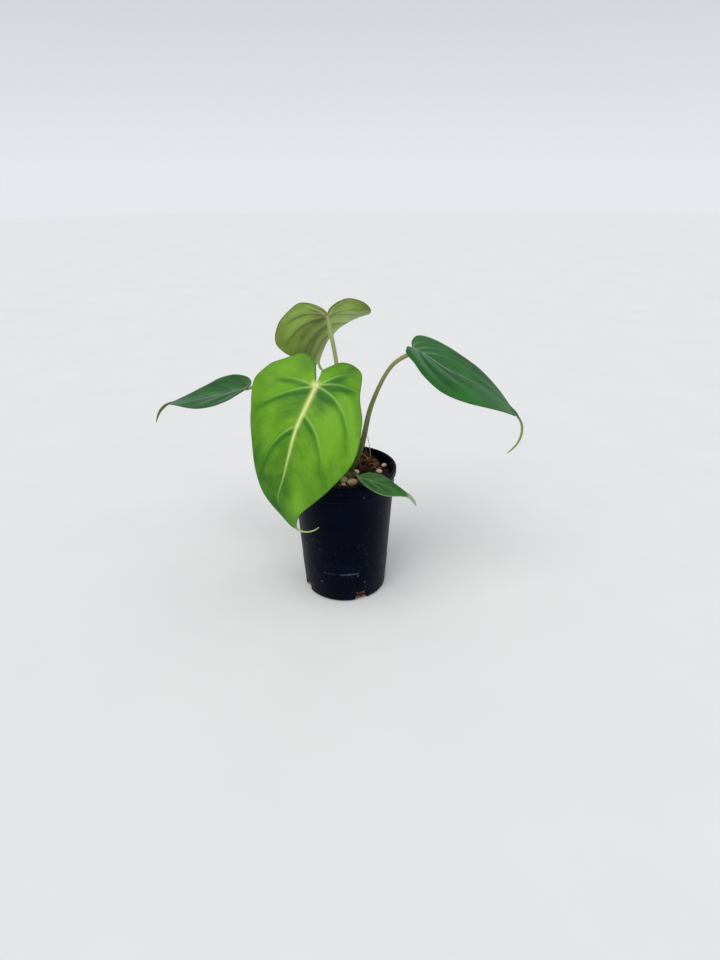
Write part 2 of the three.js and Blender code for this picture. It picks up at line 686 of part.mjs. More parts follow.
// A petiole from its seat in the rhizome up to just under its blade. extra widens it, for a hole.
function petioleBar(leaf, stations, extra) {
  const { via, foot, radii } = leaf.petiole;
  const { place, up } = stationAt(stations, 0);
  const below = BLADE_THICKNESS / 2 + keelDepth(leaf) + GAP + radii[1];
  const head = place.clone().addScaledVector(up, -below);
  const curve = new THREE.CatmullRomCurve3([vec(foot), ...via.map(vec), head]);
  const steps = Math.max(PETIOLE.leastSteps, Math.round(curve.getLength() / PETIOLE.step));
  const radius = (t) => THREE.MathUtils.lerp(radii[0], radii[1], Math.min(1, t * PETIOLE.taper)) + extra;
  return bar(curve, radius, PETIOLE.sides, steps);
}

const plant = new THREE.Group();
const walked = LEAVES.map((leaf) => ({ leaf, stations: walkMidrib(leaf) }));
const holes = walked.map(({ leaf, stations }) => petioleBar(leaf, stations, GAP));
plant.add(nurseryPot());
plant.add(substrate([rhizomeBar(GAP), ...holes]));
plant.add(rhizome(holes));
walked.forEach(({ leaf, stations }) => {
  plant.add(meshOf(`petiole_${leaf.name}`, petioleBar(leaf, stations, 0), finish(0x6f6f36, 0.55)));
  plant.add(blade(leaf, stations));
});

export default plant;
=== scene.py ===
# %% [markdown]
# # A heart-leaved philodendron in its nursery pot
#
# This lesson dresses a plain solid model of a small potted plant: a black nursery pot, its bark mix, a
# creeping stem and five leaves on long stalks. The solids give every size and place. Each step below says
# what the piece is on the real plant, how it could be made, and why this way was chosen.
#
# The solids arrive first, as a fixed frame in metres with Z up. The finished plant has to stay the size
# of its solids.

import math

import bmesh
import bpy
import numpy as np
from mathutils import Matrix, Quaternion, Vector


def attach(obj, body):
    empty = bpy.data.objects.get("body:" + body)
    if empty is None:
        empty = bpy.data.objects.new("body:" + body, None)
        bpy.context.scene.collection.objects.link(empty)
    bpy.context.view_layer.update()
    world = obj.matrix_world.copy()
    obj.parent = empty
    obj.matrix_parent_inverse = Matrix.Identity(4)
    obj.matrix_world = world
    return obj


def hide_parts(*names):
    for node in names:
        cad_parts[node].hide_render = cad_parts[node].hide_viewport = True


MM = 0.001
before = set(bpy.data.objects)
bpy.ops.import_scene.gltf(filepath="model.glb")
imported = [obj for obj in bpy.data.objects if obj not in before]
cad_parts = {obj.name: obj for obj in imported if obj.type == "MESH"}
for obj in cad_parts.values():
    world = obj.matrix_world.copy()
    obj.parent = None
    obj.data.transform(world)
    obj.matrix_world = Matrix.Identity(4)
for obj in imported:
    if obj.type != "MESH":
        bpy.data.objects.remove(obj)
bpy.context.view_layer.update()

# %% [markdown]
# ## The camera
#
# The plant was seen from in front and a little above, with a wide lens: 26 degrees down and almost level.
# A camera could be aimed with a constraint, but a matrix of its right, up and back directions holds the
# small roll as well, and nothing has to be solved when the scene is run.

# %% Camera
CAMERA_PLACE = (15.527, -545.746, 382.730)
CAMERA_DOWN = 26.286
CAMERA_ROLL = -0.363
CAMERA_LENS = 23.834
SENSOR_WIDTH = 36.0
CLIP_METRES = (0.01, 30)


def placed(name, data):
    """An object that holds the data, linked to the scene at the origin."""
    made = bpy.data.objects.new(name, data)
    bpy.context.scene.collection.objects.link(made)
    return made


down, roll = math.radians(CAMERA_DOWN), math.radians(CAMERA_ROLL)
forward = Vector((0, math.cos(down), -math.sin(down)))
level_up = Vector((0, math.sin(down), math.cos(down)))
camera_right = math.cos(roll) * Vector((1, 0, 0)) + math.sin(roll) * level_up
camera_up = math.cos(roll) * level_up - math.sin(roll) * Vector((1, 0, 0))
camera_data = bpy.data.cameras.new("camera")
camera_data.lens, camera_data.sensor_width = CAMERA_LENS, SENSOR_WIDTH
camera_data.clip_start, camera_data.clip_end = CLIP_METRES
camera = placed("camera", camera_data)
turned_axes = Matrix((camera_right, camera_up, -forward)).transposed()
camera.matrix_world = Matrix.Translation(Vector(CAMERA_PLACE) * MM) @ turned_axes.to_4x4()
bpy.context.scene.camera = camera
print("camera looks", CAMERA_DOWN, "degrees down through", CAMERA_LENS, "mm")

# %% [markdown]
# ## Helpers for colour, nodes and meshes
#
# Colours are picked as sRGB hex values, as on a paint chart, and one function turns them to the linear
# numbers that a shader adds up. One function adds a node with its settings and links, so a material reads
# as a list of steps. Sockets may be named by number: 0, 6 and 7 of a Mix are its share and its two colours,
# and 0 to 4 of a Map Range are its value, the two ends that it comes from and the two that it goes to.
# One function puts whole arrays of points and faces into a mesh.


# %% Colour and node helpers
def linear(hex_colour):
    """sRGB hex to linear RGBA: values under 0.04045 are divided by 12.92, the rest follow a 2.4 power."""
    srgb = np.array([int(hex_colour[i : i + 2], 16) for i in (1, 3, 5)]) / 255
    value = np.where(srgb <= 0.04045, srgb / 12.92, ((srgb + 0.055) / 1.055) ** 2.4)
    return (*value.tolist(), 1.0)


def add(material, kind, inputs=None, out=0, stops=None, **settings):
    """Adds a node of this kind, or takes a node that is already there, and sets its settings, inputs and
    colour stops. Inputs are numbers, colours as hex text, or other nodes' outputs. Returns output out."""
    tree = material.node_tree
    node = kind if isinstance(kind, bpy.types.Node) else tree.nodes.new("ShaderNode" + kind)
    for key, value in settings.items():
        setattr(node, key, value)
    for key, value in (inputs or {}).items():
        if isinstance(value, bpy.types.NodeSocket):
            tree.links.new(value, node.inputs[key])
        else:
            node.inputs[key].default_value = linear(value) if isinstance(value, str) else value
    for k, (place, colour) in enumerate(stops or []):
        ramp = node.color_ramp.elements
        stop = ramp[k] if k < len(ramp) else ramp.new(place)
        stop.position, stop.color = place, linear(colour)
    return node.outputs[out]


def new_material(name):
    """An empty material, and the principled shader that it comes with."""
    material = bpy.data.materials.new(name)
    material.use_nodes = True
    return material, material.node_tree.nodes["Principled BSDF"]


# %% Mesh helpers
def grid_faces(rows, columns, first=0, close=False):
    """Quads of a grid whose points are numbered row by row. close joins the last column to the first."""
    i, j = np.meshgrid(np.arange(rows - 1), np.arange(columns if close else columns - 1), indexing="ij")
    a, b = i * columns + j, i * columns + (j + 1) % columns
    return first + np.stack([a, b, b + columns, a + columns], -1).reshape(-1, 4)


def closed_mesh(name, points, faces, marks=None, merge=1e-4):
    """A mesh of points in mm with a float mark for each point. Points nearer than merge become one, and
    the faces are turned outwards. Returned with the number of its open edges."""
    mesh = bpy.data.meshes.new(name)
    mesh.from_pydata((np.asarray(points) * MM).tolist(), [], [list(map(int, f)) for f in faces])
    for key, values in (marks or {}).items():
        layer = mesh.attributes.new(key, "FLOAT", "POINT")
        layer.data.foreach_set("value", np.asarray(values, np.float32).ravel())
    work = bmesh.new()
    work.from_mesh(mesh)
    bmesh.ops.remove_doubles(work, verts=work.verts, dist=merge * MM)
    bmesh.ops.recalc_face_normals(work, faces=work.faces)
    open_edges = sum(not edge.is_manifold for edge in work.edges)
    work.to_mesh(mesh)
    work.free()
    return mesh, open_edges


def piece(name, points, faces, stands_for=(), marks=None, merge=1e-4, sharp=None):
    """A finished piece: its mesh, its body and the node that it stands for. It is
    smooth all over, or with sharp, smooth except over edges sharper than that many degrees."""
    mesh, open_edges = closed_mesh(name, points, faces, marks, merge)
    mesh.shade_smooth()
    if sharp is not None:
        mesh.set_sharp_from_angle(angle=math.radians(sharp))
    made = placed(name, mesh)
    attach(made, "root")
    if stands_for:
        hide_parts(*stands_for)
    print(f"{name}: {len(mesh.polygons)} faces, {open_edges} open edges")
    return made


def swept(path, radius, sides, start_normal=(0.0, 0.0, 1.0)):
    """A round tube: rings of the given radius at right angles to a path, each turned as little as possible
    from the one before. Returns points row by row and the angle of each as a share of a turn."""
    path = np.asarray(path, float)
    tangent = np.gradient(path, axis=0)
    tangent /= np.linalg.norm(tangent, axis=1, keepdims=True)
    normal = np.cross(tangent[0], np.cross(start_normal, tangent[0]))
    normals = np.empty_like(path)
    for k, t in enumerate(tangent):
        normal = normal - t * (normal @ t)
        normal = normal / np.linalg.norm(normal)
        normals[k] = normal
    side = np.cross(tangent, normals)
    turn = np.linspace(0, 1, sides, endpoint=False)
    angle = (2 * np.pi * turn)[None, :, None]
    ring = np.cos(angle) * normals[:, None] + np.sin(angle) * side[:, None]
    points = path[:, None] + ring * np.asarray(radius, float).reshape(len(path), -1)[..., None]
    return points.reshape(-1, 3), np.tile(turn, len(path))


def dress(made, material):
    """Gives a piece its one material."""
    made.data.materials.clear()
    made.data.materials.append(material)


def icosphere(splits):
    """Points and triangles of a ball of radius 1: an icosahedron whose faces are split in four again and
    again, with every new corner pushed out to the radius."""
    work = bmesh.new()
    bmesh.ops.create_icosphere(work, subdivisions=splits, radius=1)
    points = np.array([v.co for v in work.verts])
    faces = np.array([[v.index for v in f.verts] for f in work.faces])
    work.free()
    return points, faces


def about_z(degrees):
    """A matrix that turns rows of points about the Z axis when it stands on their right."""
    c, s = math.cos(math.radians(degrees)), math.sin(math.radians(degrees))
    return np.array([[c, s, 0], [-s, c, 0], [0, 0, 1]])


# %% [markdown]
# ## Leaf blades
#
# A blade of this plant is a thin heart with a long drip tip. It hangs from its stalk, droops and twists
# along its midrib, bends across, and is quilted between its side veins. It could be sculpted or cut from a
# picture, but a formula keeps it true to the solid. The outline of each half is a smooth curve through ten
# points. Rows fan out from the stalk to that outline, arched like side veins. The flat leaf is then set
# along a midrib that is walked in small steps, each turned a little down, sideways and round.

# %% Outlines
# Each point is a share of the half width across and a share of the blade's length along.
OUTLINES = {
    "broad_left": [
        (0.02, -0.095), (0.33, -0.185), (0.67, -0.155), (0.79, 0.0), (0.99, 0.14),
        (1.09, 0.36), (0.86, 0.61), (0.57, 0.78), (0.245, 0.91), (0.04, 1.03),
    ],
    "broad_right": [
        (0.11, -0.125), (0.37, -0.175), (0.7, -0.105), (0.94, -0.035), (1.1, 0.11),
        (0.96, 0.33), (0.76, 0.52), (0.525, 0.76), (0.23, 0.91), (0.04, 1.03),
    ],
    "heart_left": [
        (0.1, -0.09), (0.42, -0.245), (0.68, -0.155), (0.93, 0.01), (1.08, 0.2),
        (0.99, 0.37), (0.79, 0.54), (0.56, 0.77), (0.28, 0.92), (0.08, 1.03),
    ],
    "heart_right": [
        (0.12, -0.11), (0.42, -0.21), (0.75, -0.16), (0.95, -0.04), (0.99, 0.13),
        (0.97, 0.35), (0.82, 0.57), (0.6, 0.785), (0.31, 0.92), (0.1, 1.03),
    ],
    "long_left": [
        (0.15, 0.02), (0.43, 0.0), (0.7, 0.025), (0.95, 0.08), (1.05, 0.22),
        (0.92, 0.43), (0.79, 0.63), (0.5, 0.83), (0.21, 0.95), (0.075, 1.03),
    ],
    "long_right": [
        (0.1, -0.06), (0.45, -0.07), (0.69, -0.005), (0.93, 0.08), (1.07, 0.24),
        (0.97, 0.44), (0.745, 0.635), (0.47, 0.815), (0.21, 0.955), (0.075, 1.03),
    ],
    "narrow_left": [
        (0.14, -0.03), (0.5, -0.035), (0.85, -0.01), (1.02, 0.05), (1.07, 0.22),
        (0.98, 0.43), (0.77, 0.61), (0.47, 0.8), (0.19, 0.95), (0.07, 1.03),
    ],
    "narrow_right": [
        (0.12, -0.02), (0.36, 0.0), (0.64, 0.05), (0.9, 0.14), (1.06, 0.3),
        (0.95, 0.46), (0.68, 0.58), (0.4, 0.74), (0.18, 0.9), (0.07, 1.03),
    ],
    "lance_left": [
        (0.16, 0.0), (0.42, 0.02), (0.68, 0.08), (0.9, 0.18), (1.0, 0.31),
        (0.93, 0.45), (0.74, 0.6), (0.52, 0.76), (0.33, 0.91), (0.2, 1.03),
    ],
    "lance_right": [
        (0.1, 0.02), (0.36, 0.08), (0.62, 0.17), (0.86, 0.28), (1.0, 0.41),
        (1.03, 0.53), (0.93, 0.66), (0.66, 0.79), (0.36, 0.92), (0.2, 1.03),
    ],
}

# %% [markdown]
# Every leaf is one row of values in mm and degrees. base is where its stalk meets it, and heading its yaw,
# pitch and roll there. droop, swing and twist turn the midrib in each half of its length, and lobe_droop
# bends the lobes behind the stalk. fold raises each half from the midrib, and curl bends it on out to its
# edge. sway says how far the midrib wanders from the middle, as share of length and share of half width.
# rib scales the midrib's width, and quilt is the height of the quilting. A vein is a start, a middle and an
# end point on the flat leaf, with the left half positive. patches are soft spots of painted light and shade,
# partly also the leaf's own paler or deeper green: a place, a size and an amount. tip is the drip tip's
# length, with its droop and swing. tip_fold folds up its two halves, and tip_twist turns it about its own
# length. via, foot and radii belong to the stalk.

# %% Leaves
LEAVES = {
    "front": dict(
        base=(-20.2, -46.8, 223.5), length=131, half_width=(48.6, 48), heading=(-121, -51, -20.5),
        droop=(24, 33.5), swing=(-20, 46), twist=(8, 8), fold=(1, -3.5), curl=(-12.5, -5), lobe_droop=0,
        tip=(22, 69, 86), tip_fold=20, rib=1.0, outline=("broad_left", "broad_right"), quilt=2.2,
        via=[(-5, -13, 150), (-12, -28, 195)], foot=(-3, -4, 119), radii=(3, 2.1),
        sway=[(0, 0.02), (0.28, -0.03), (0.5, 0), (0.65, -0.03), (0.8, -0.15), (0.9, -0.12), (1.03, 0)],
        veins=[
            [(0.08, -0.01), (0.28, -0.08), (0.5, -0.13)], [(0.06, 0), (0.4, -0.04), (0.74, -0.03)],
            [(0.03, 0.01), (0.62, 0.11), (0.96, 0.35)], [(0, 0.2), (0.43, 0.33), (0.66, 0.55)],
            [(-0.04, 0.01), (-0.4, 0), (-0.78, 0.03)], [(-0.03, 0.02), (-0.5, 0.12), (-0.93, 0.29)],
            [(-0.02, 0.28), (-0.35, 0.44), (-0.53, 0.7)],
        ],
        light_shade_and_tone_patches=[
            ((0.55, 0.3), 0.4, 0.35), ((0.6, 0.15), 0.3, 0.2), ((0.2, 0.76), 0.2, 0.35),
            ((-0.75, 0.5), 0.4, -0.35), ((-0.3, 0.88), 0.25, -0.6), ((0.05, 0.7), 0.14, -0.5),
            ((0.85, 0.12), 0.16, -0.05), ((0.97, 0.3), 0.2, 0.35), ((0.4, -0.03), 0.2, -0.55),
            ((0.2, 0.08), 0.12, -0.35), ((0.5, 0.1), 0.12, 0.4), ((-0.8, 0.16), 0.36, 0.35),
            ((-0.42, 0.18), 0.22, -0.05), ((-0.6, -0.1), 0.25, 0.2),
            ((0.75, 0.55), 0.3, -0.15), ((0.28, 0.8), 0.12, 0.5), ((0.5, 0.26), 0.16, 0.5),
            ((-0.5, 0.3), 0.18, 0.3), ((-0.5, 0.42), 0.12, 0.2),
        ],
    ),
    "back": dict(
        base=(-12.3, 20.9, 266), length=99, half_width=(47.9, 39.7), heading=(89, -35.5, 3.5),
        droop=(-4, 8.5), swing=(2, 26), twist=(-18, -54), fold=(-6, 20.5), curl=(-19, -24), lobe_droop=-6,
        tip=(17, 37, -21), tip_fold=8, rib=0.8, outline=("heart_left", "heart_right"), quilt=1.7,
        via=[(-1.5, 7, 165), (-5, 13.5, 223.5)], foot=(-4, 5, 120), radii=(2.9, 1.9),
        sway=[(0, 0), (1.03, 0)],
        veins=[
            [(0.04, 0), (0.2, -0.11), (0.4, -0.17)], [(0.05, 0), (0.42, -0.06), (0.86, 0.04)],
            [(0.04, 0.03), (0.52, 0.12), (0.88, 0.28)], [(0.02, 0.2), (0.4, 0.37), (0.66, 0.58)],
            [(0, 0.45), (0.25, 0.58), (0.36, 0.76)], [(-0.04, 0), (-0.2, -0.11), (-0.4, -0.16)],
            [(-0.05, 0.01), (-0.42, -0.02), (-0.85, 0.05)], [(-0.04, 0.03), (-0.42, 0.08), (-0.85, 0.26)],
            [(-0.02, 0.22), (-0.4, 0.36), (-0.64, 0.58)], [(0, 0.45), (-0.25, 0.58), (-0.36, 0.76)],
        ],
        light_shade_and_tone_patches=[
            ((0.55, 0.05), 0.35, 0.25), ((0.35, 0.42), 0.4, -0.5), ((-0.35, 0.2), 0.3, 0.3),
            ((-0.9, -0.05), 0.3, -0.3), ((0.7, 0.22), 0.16, 0.3), ((0.15, 0.1), 0.14, -0.5),
        ],
    ),
    "right": dict(
        base=(62, -5.8, 241), length=118, half_width=(37.3, 40), heading=(3, -27.5, 13.5),
        droop=(1, 18.7), swing=(2.2, -1.5), twist=(11, -11), fold=(4, 10.3), curl=(-11.7, -23), lobe_droop=0,
        tip=(41.5, 97.5, -19.7), tip_fold=60, rib=0.45, outline=("long_left", "long_right"), quilt=1.6,
        via=[(16.6, -2.4, 148), (26.6, -3.7, 191), (44.4, -5.1, 227)], foot=(5, 0, 119), radii=(3.3, 1.8),
        sway=[(0, 0.06), (0.09, 0), (0.25, -0.14), (0.42, -0.09), (0.6, 0), (0.8, 0.04), (1.03, 0)],
        veins=[
            [(0.1, 0), (0.55, 0.07), (0.88, 0.26)], [(0.1, 0.03), (0.6, 0.23), (0.73, 0.5)],
            [(0.05, 0.08), (0.42, 0.38), (0.34, 0.84)], [(-0.02, 0.02), (-0.62, 0.14), (-0.8, 0.38)],
            [(-0.05, 0.08), (-0.44, 0.42), (-0.2, 0.8)],
        ],
        light_shade_and_tone_patches=[
            ((-0.75, 0.5), 0.35, 0.5), ((0.25, 0.12), 0.2, 0.4), ((0.8, 0.6), 0.3, -0.4),
            ((-0.7, 0.3), 0.25, -0.3), ((-0.25, 0.3), 0.2, -0.3), ((0.1, 0.45), 0.12, 0.4),
        ],
    ),
    "left": dict(
        base=(-92.9, 44.8, 190.9), length=94.5, half_width=(31.3, 30.4), heading=(164, -12.3, -3.5),
        droop=(2.7, 6.2), swing=(-3, 2), twist=(-18.5, 16.7), fold=(11, 6), curl=(-16.4, -5), lobe_droop=0,
        tip=(24.5, 59, 27), tip_twist=-60, tip_fold=25, rib=0.5, quilt=1.3,
        outline=("narrow_left", "narrow_right"),
        via=[(-20, 10, 158), (-52, 27, 188), (-78, 39, 196)], foot=(-11, 5, 120), radii=(2.8, 1.35),
        sway=[(0, 0.05), (0.15, 0.3), (0.35, 0.3), (0.6, 0.3), (0.8, 0.2), (1.03, 0)],
        veins=[
            [(0.1, 0), (0.55, 0.06), (0.85, 0.24)], [(0.25, 0.2), (0.55, 0.42), (0.6, 0.64)],
            [(0, 0.01), (-0.4, 0.06), (-0.8, 0.26)], [(0.2, 0.12), (-0.3, 0.3), (-0.5, 0.56)],
            [(0.28, 0.35), (-0.1, 0.56), (-0.2, 0.76)],
        ],
        light_shade_and_tone_patches=[((0.3, 0.4), 0.4, 0.2), ((-0.6, 0.5), 0.4, -0.2)],
    ),
    "young": dict(
        base=(14.2, -38.1, 133.6), length=44.5, half_width=(14.1, 14.2), heading=(-17.5, -3, 1.5),
        droop=(13.7, 9.7), swing=(0, 6.7), twist=(4.4, 7), fold=(6.5, 5), curl=(-10.3, -7.5), lobe_droop=0,
        tip=(13, 40, -17), tip_fold=15, rib=0.55, outline=("lance_left", "lance_right"), quilt=0.8,
        via=[(12.5, -21, 128.5)], foot=(10, -6, 120), radii=(1.9, 1.2),
        sway=[(0, 0), (1.03, 0)],
        veins=[
            [(0, 0.04), (0.45, 0.2), (0.72, 0.42)], [(0, 0.25), (0.36, 0.46), (0.56, 0.68)],
            [(0, 0.04), (-0.45, 0.2), (-0.72, 0.42)], [(0, 0.25), (-0.36, 0.46), (-0.56, 0.68)],
        ],
        light_shade_and_tone_patches=[((0.5, 0.3), 0.4, 0.3), ((0.4, 0.8), 0.3, -0.3)],
    ),
}
# Shares of a blade's length: where the drip tip starts, how far the lobes reach back, over how much of
# that they droop, and one step along the midrib.
BLADE_END = 1.03
LOBE_REACH = 0.3
LOBE_DROOP_SPAN = 0.25
SPINE_STEP = 0.01
print("leaves:", {name: f"{leaf['length']} mm" for name, leaf in LEAVES.items()})


# %% Midrib walk
def walk_midrib(leaf):
    """Walks the midrib both ways from the stalk in steps of a hundredth of the length. Each step turns the
    frame about its own three directions: left by the droop, up by the swing, along by the twist.
    Returns the shares of length, the places, and the directions along and to the left."""
    yaw, pitch, roll = np.radians(leaf["heading"])
    along = Vector((math.cos(pitch) * math.cos(yaw), math.cos(pitch) * math.sin(yaw), math.sin(pitch)))
    left = Quaternion(along, roll) @ Vector((-math.sin(yaw), math.cos(yaw), 0))
    tip_length, tip_droop, tip_swing = leaf["tip"]
    tip_share = tip_length / leaf["length"]

    def rates(t):
        """Degrees of droop, swing and twist for each length walked, at share t: both halves' values are
        mixed along the blade, and the lobes and the drip tip turn evenly."""
        if t < 0:
            return leaf["lobe_droop"] / LOBE_DROOP_SPAN, 0, 0
        if t < 1:
            turns = (leaf["droop"], leaf["swing"], leaf["twist"])
            return tuple(2 * (a * (1 - t) + b * t) for a, b in turns)
        share = tip_share + BLADE_END - 1
        return tip_droop / share, tip_swing / share, 0

    def walk(end):
        """Steps from the stalk to a share of the length. Each goes along the mean of the directions before
        and after its turn."""
        count = round(abs(end) / SPINE_STEP)
        step, place, a, b = end / count, Vector(leaf["base"]), along.copy(), left.copy()
        found = [(0.0, *place, *a, *b)]
        for i in range(count):
            droop, swing, twist = (math.radians(r) * step for r in rates((i + 0.5) * step))
            turn = Quaternion(b, droop) @ Quaternion(a.cross(b), swing) @ Quaternion(a, twist)
            before, a, b = a.copy(), (turn @ a).normalized(), (turn @ b).normalized()
            place = place + (before + a) * (0.5 * step * leaf["length"])
            found.append(((i + 1) * step, *place, *a, *b))
        return found

    return np.array(walk(-LOBE_REACH)[:0:-1] + walk(BLADE_END + tip_share))


def stations(spine, t):
    """Place, along, left and up of the walked midrib at shares t, in a straight line between two steps. Up
    is at right angles to the other two."""
    found = np.stack([np.interp(t, spine[:, 0], spine[:, k]) for k in range(1, 10)], -1)
    place, along, left = found[..., :3], found[..., 3:6], found[..., 6:]
    along = along / np.linalg.norm(along, axis=-1, keepdims=True)
    left = left / np.linalg.norm(left, axis=-1, keepdims=True)
    return place, along, left, np.cross(along, left)


# %% [markdown]
# The flat half blade is a grid of rows and columns. Rows are quadratic curves from the midrib to the
# outline, and their arch dies out towards the tip. The drip tip goes on from the last row as a strip that
# narrows on a blunt curve, and its two halves fold up towards each other.

# %% Flat half blade
# The first share of the rows starts at the stalk, and the rest start along the midrib, closer together
# near the stalk by a power. A row's arch in degrees dies out over the last share of the rows.
FAN_SHARE = 0.5
MIDRIB_POWER = 1.3
VEIN_ARCH = 24
ARCH_FADE = 0.3
CLEAR_OF_MIDRIB = 0.04
TIP_ROWS = 44
TIP_TAPER = 0.6
TIP_BLUNT = 0.995


def smooth_curve(points, share):
    """A smooth curve through points: a cubic between neighbours, whose slope at each point is half the
    chord from the point before it to the one after it."""
    points = np.asarray(points, float)
    place = share * (len(points) - 1)
    k = np.minimum(place.astype(int), len(points) - 1)
    w = (place - k)[..., None]
    p0, p1, p2, p3 = (points[np.clip(k + d, 0, len(points) - 1)] for d in (-1, 0, 1, 2))
    v0, v1 = (p2 - p0) / 2, (p3 - p1) / 2
    return (2 * p1 - 2 * p2 + v0 + v1) * w**3 + (-3 * p1 + 3 * p2 - 2 * v0 - v1) * w**2 + v0 * w + p1


def flat_half(leaf, side, a, t):
    """Rows a and columns t of a flat half blade in mm: across from the midrib, and along it. A row is a
    quadratic curve whose middle point lies off its chord by the arch. The tip's half width follows a
    power of 1 less the squared share of its length."""
    half = 0 if side > 0 else 1
    width, length = leaf["half_width"][half], leaf["length"]
    start = np.zeros((len(a), 2))
    start[:, 1] = BLADE_END * np.maximum(0, (a - FAN_SHARE) / (1 - FAN_SHARE)) ** MIDRIB_POWER * length
    edge = smooth_curve(OUTLINES[leaf["outline"][half]], a) * [width, length]
    arch = np.radians(VEIN_ARCH * np.minimum(1, (1 - a) / ARCH_FADE))
    x, y = (edge - start).T
    control = np.stack([x * np.cos(arch) + y * np.sin(arch), y * np.cos(arch) - x * np.sin(arch)], -1)
    control = start + 0.5 * control / np.cos(arch)[:, None]
    control[:, 0] = np.maximum(control[:, 0], CLEAR_OF_MIDRIB * width)
    t = t[None, :, None]
    rows = (1 - t) ** 2 * start[:, None] + 2 * t * (1 - t) * control[:, None] + t**2 * edge[:, None]
    share = np.linspace(0, 1, TIP_ROWS + 1)[1:]
    reach = edge[-1, 0] * (1 - TIP_BLUNT * share**2) ** TIP_TAPER
    tip = np.empty((TIP_ROWS, t.shape[1], 2))
    tip[..., 0] = reach[:, None] * t[0, :, 0]
    tip[..., 1] = (BLADE_END * length + share * leaf["tip"][0])[:, None]
    return np.concatenate([rows, tip])


# %% [markdown]
# Distances to the veins, the midrib and the edge do two jobs. They raise and groove the surface, and they
# are kept on the mesh as marks, so the material can paint a vein where the groove is.


# %% Distances on the flat leaf
def distance_to_line(points, line):
    """Distance of each point to a polyline in mm, and the share of the line at its nearest place. Each
    point is dropped square onto every segment, held between its ends, and the nearest foot is kept."""
    start, way = line[:-1], np.diff(line, axis=0)
    away = points[:, None] - start
    share = np.clip((away * way).sum(-1) / (way**2).sum(-1), 0, 1)
    gap = np.linalg.norm(away - share[..., None] * way, axis=-1)
    best = gap.argmin(1)
    rows = np.arange(len(points))
    return gap[rows, best], (best + share[rows, best]) / len(way)


def bell(distance, width):
    """1 on the line, falling off like a bell over the width."""
    return np.exp(-((distance / width) ** 2))


# %% [markdown]
# Veins are drawn on the flat leaf as curves through three points. Each is widest and palest at its start,
# with a soft pale band on both sides that is partly painted sheen. The blade is quilted, so light falls into
# a darker valley on the tip side of each vein and on a paler crest on its other side. Painting both as tones,
# as painted shade and painted light, keeps them in flat light too.

# %% Marks on the flat leaf
# Widths in mm on a leaf of the typical length. VALLEY is the painted shade and CREST the painted light beside
# each vein, each a shift along the leaf, a width and an amount. A fade is the share of a vein or of the
# midrib over which a mark dies out.
TYPICAL_LENGTH = 120
VEIN_WIDTH, VEIN_TAPER, VEIN_FADE = 0.7, (1.25, 0.6), 1.2
BAND_AND_SHEEN_WIDTH, BAND_AND_SHEEN_FADE = 4.2, 0.4
MIDRIB_WIDTH, MIDRIB_FADE = (0.4, 1.9), (0.9, 0.55)
STAR_RADIUS = 2.9
QUILT_REACH = 6.5
VALLEY, CREST, TONE_FADE = (3.4, 2.6, -0.75), (-5.5, 4.0, 0.4), 0.3


def through(points, count):
    """A quadratic curve through three points: its control point is twice the middle one less half of the
    sum of its ends."""
    a, b, c = points
    t = np.linspace(0, 1, count)[:, None]
    return (1 - t) ** 2 * a + 2 * t * (1 - t) * (2 * b - (a + c) / 2) + t**2 * c


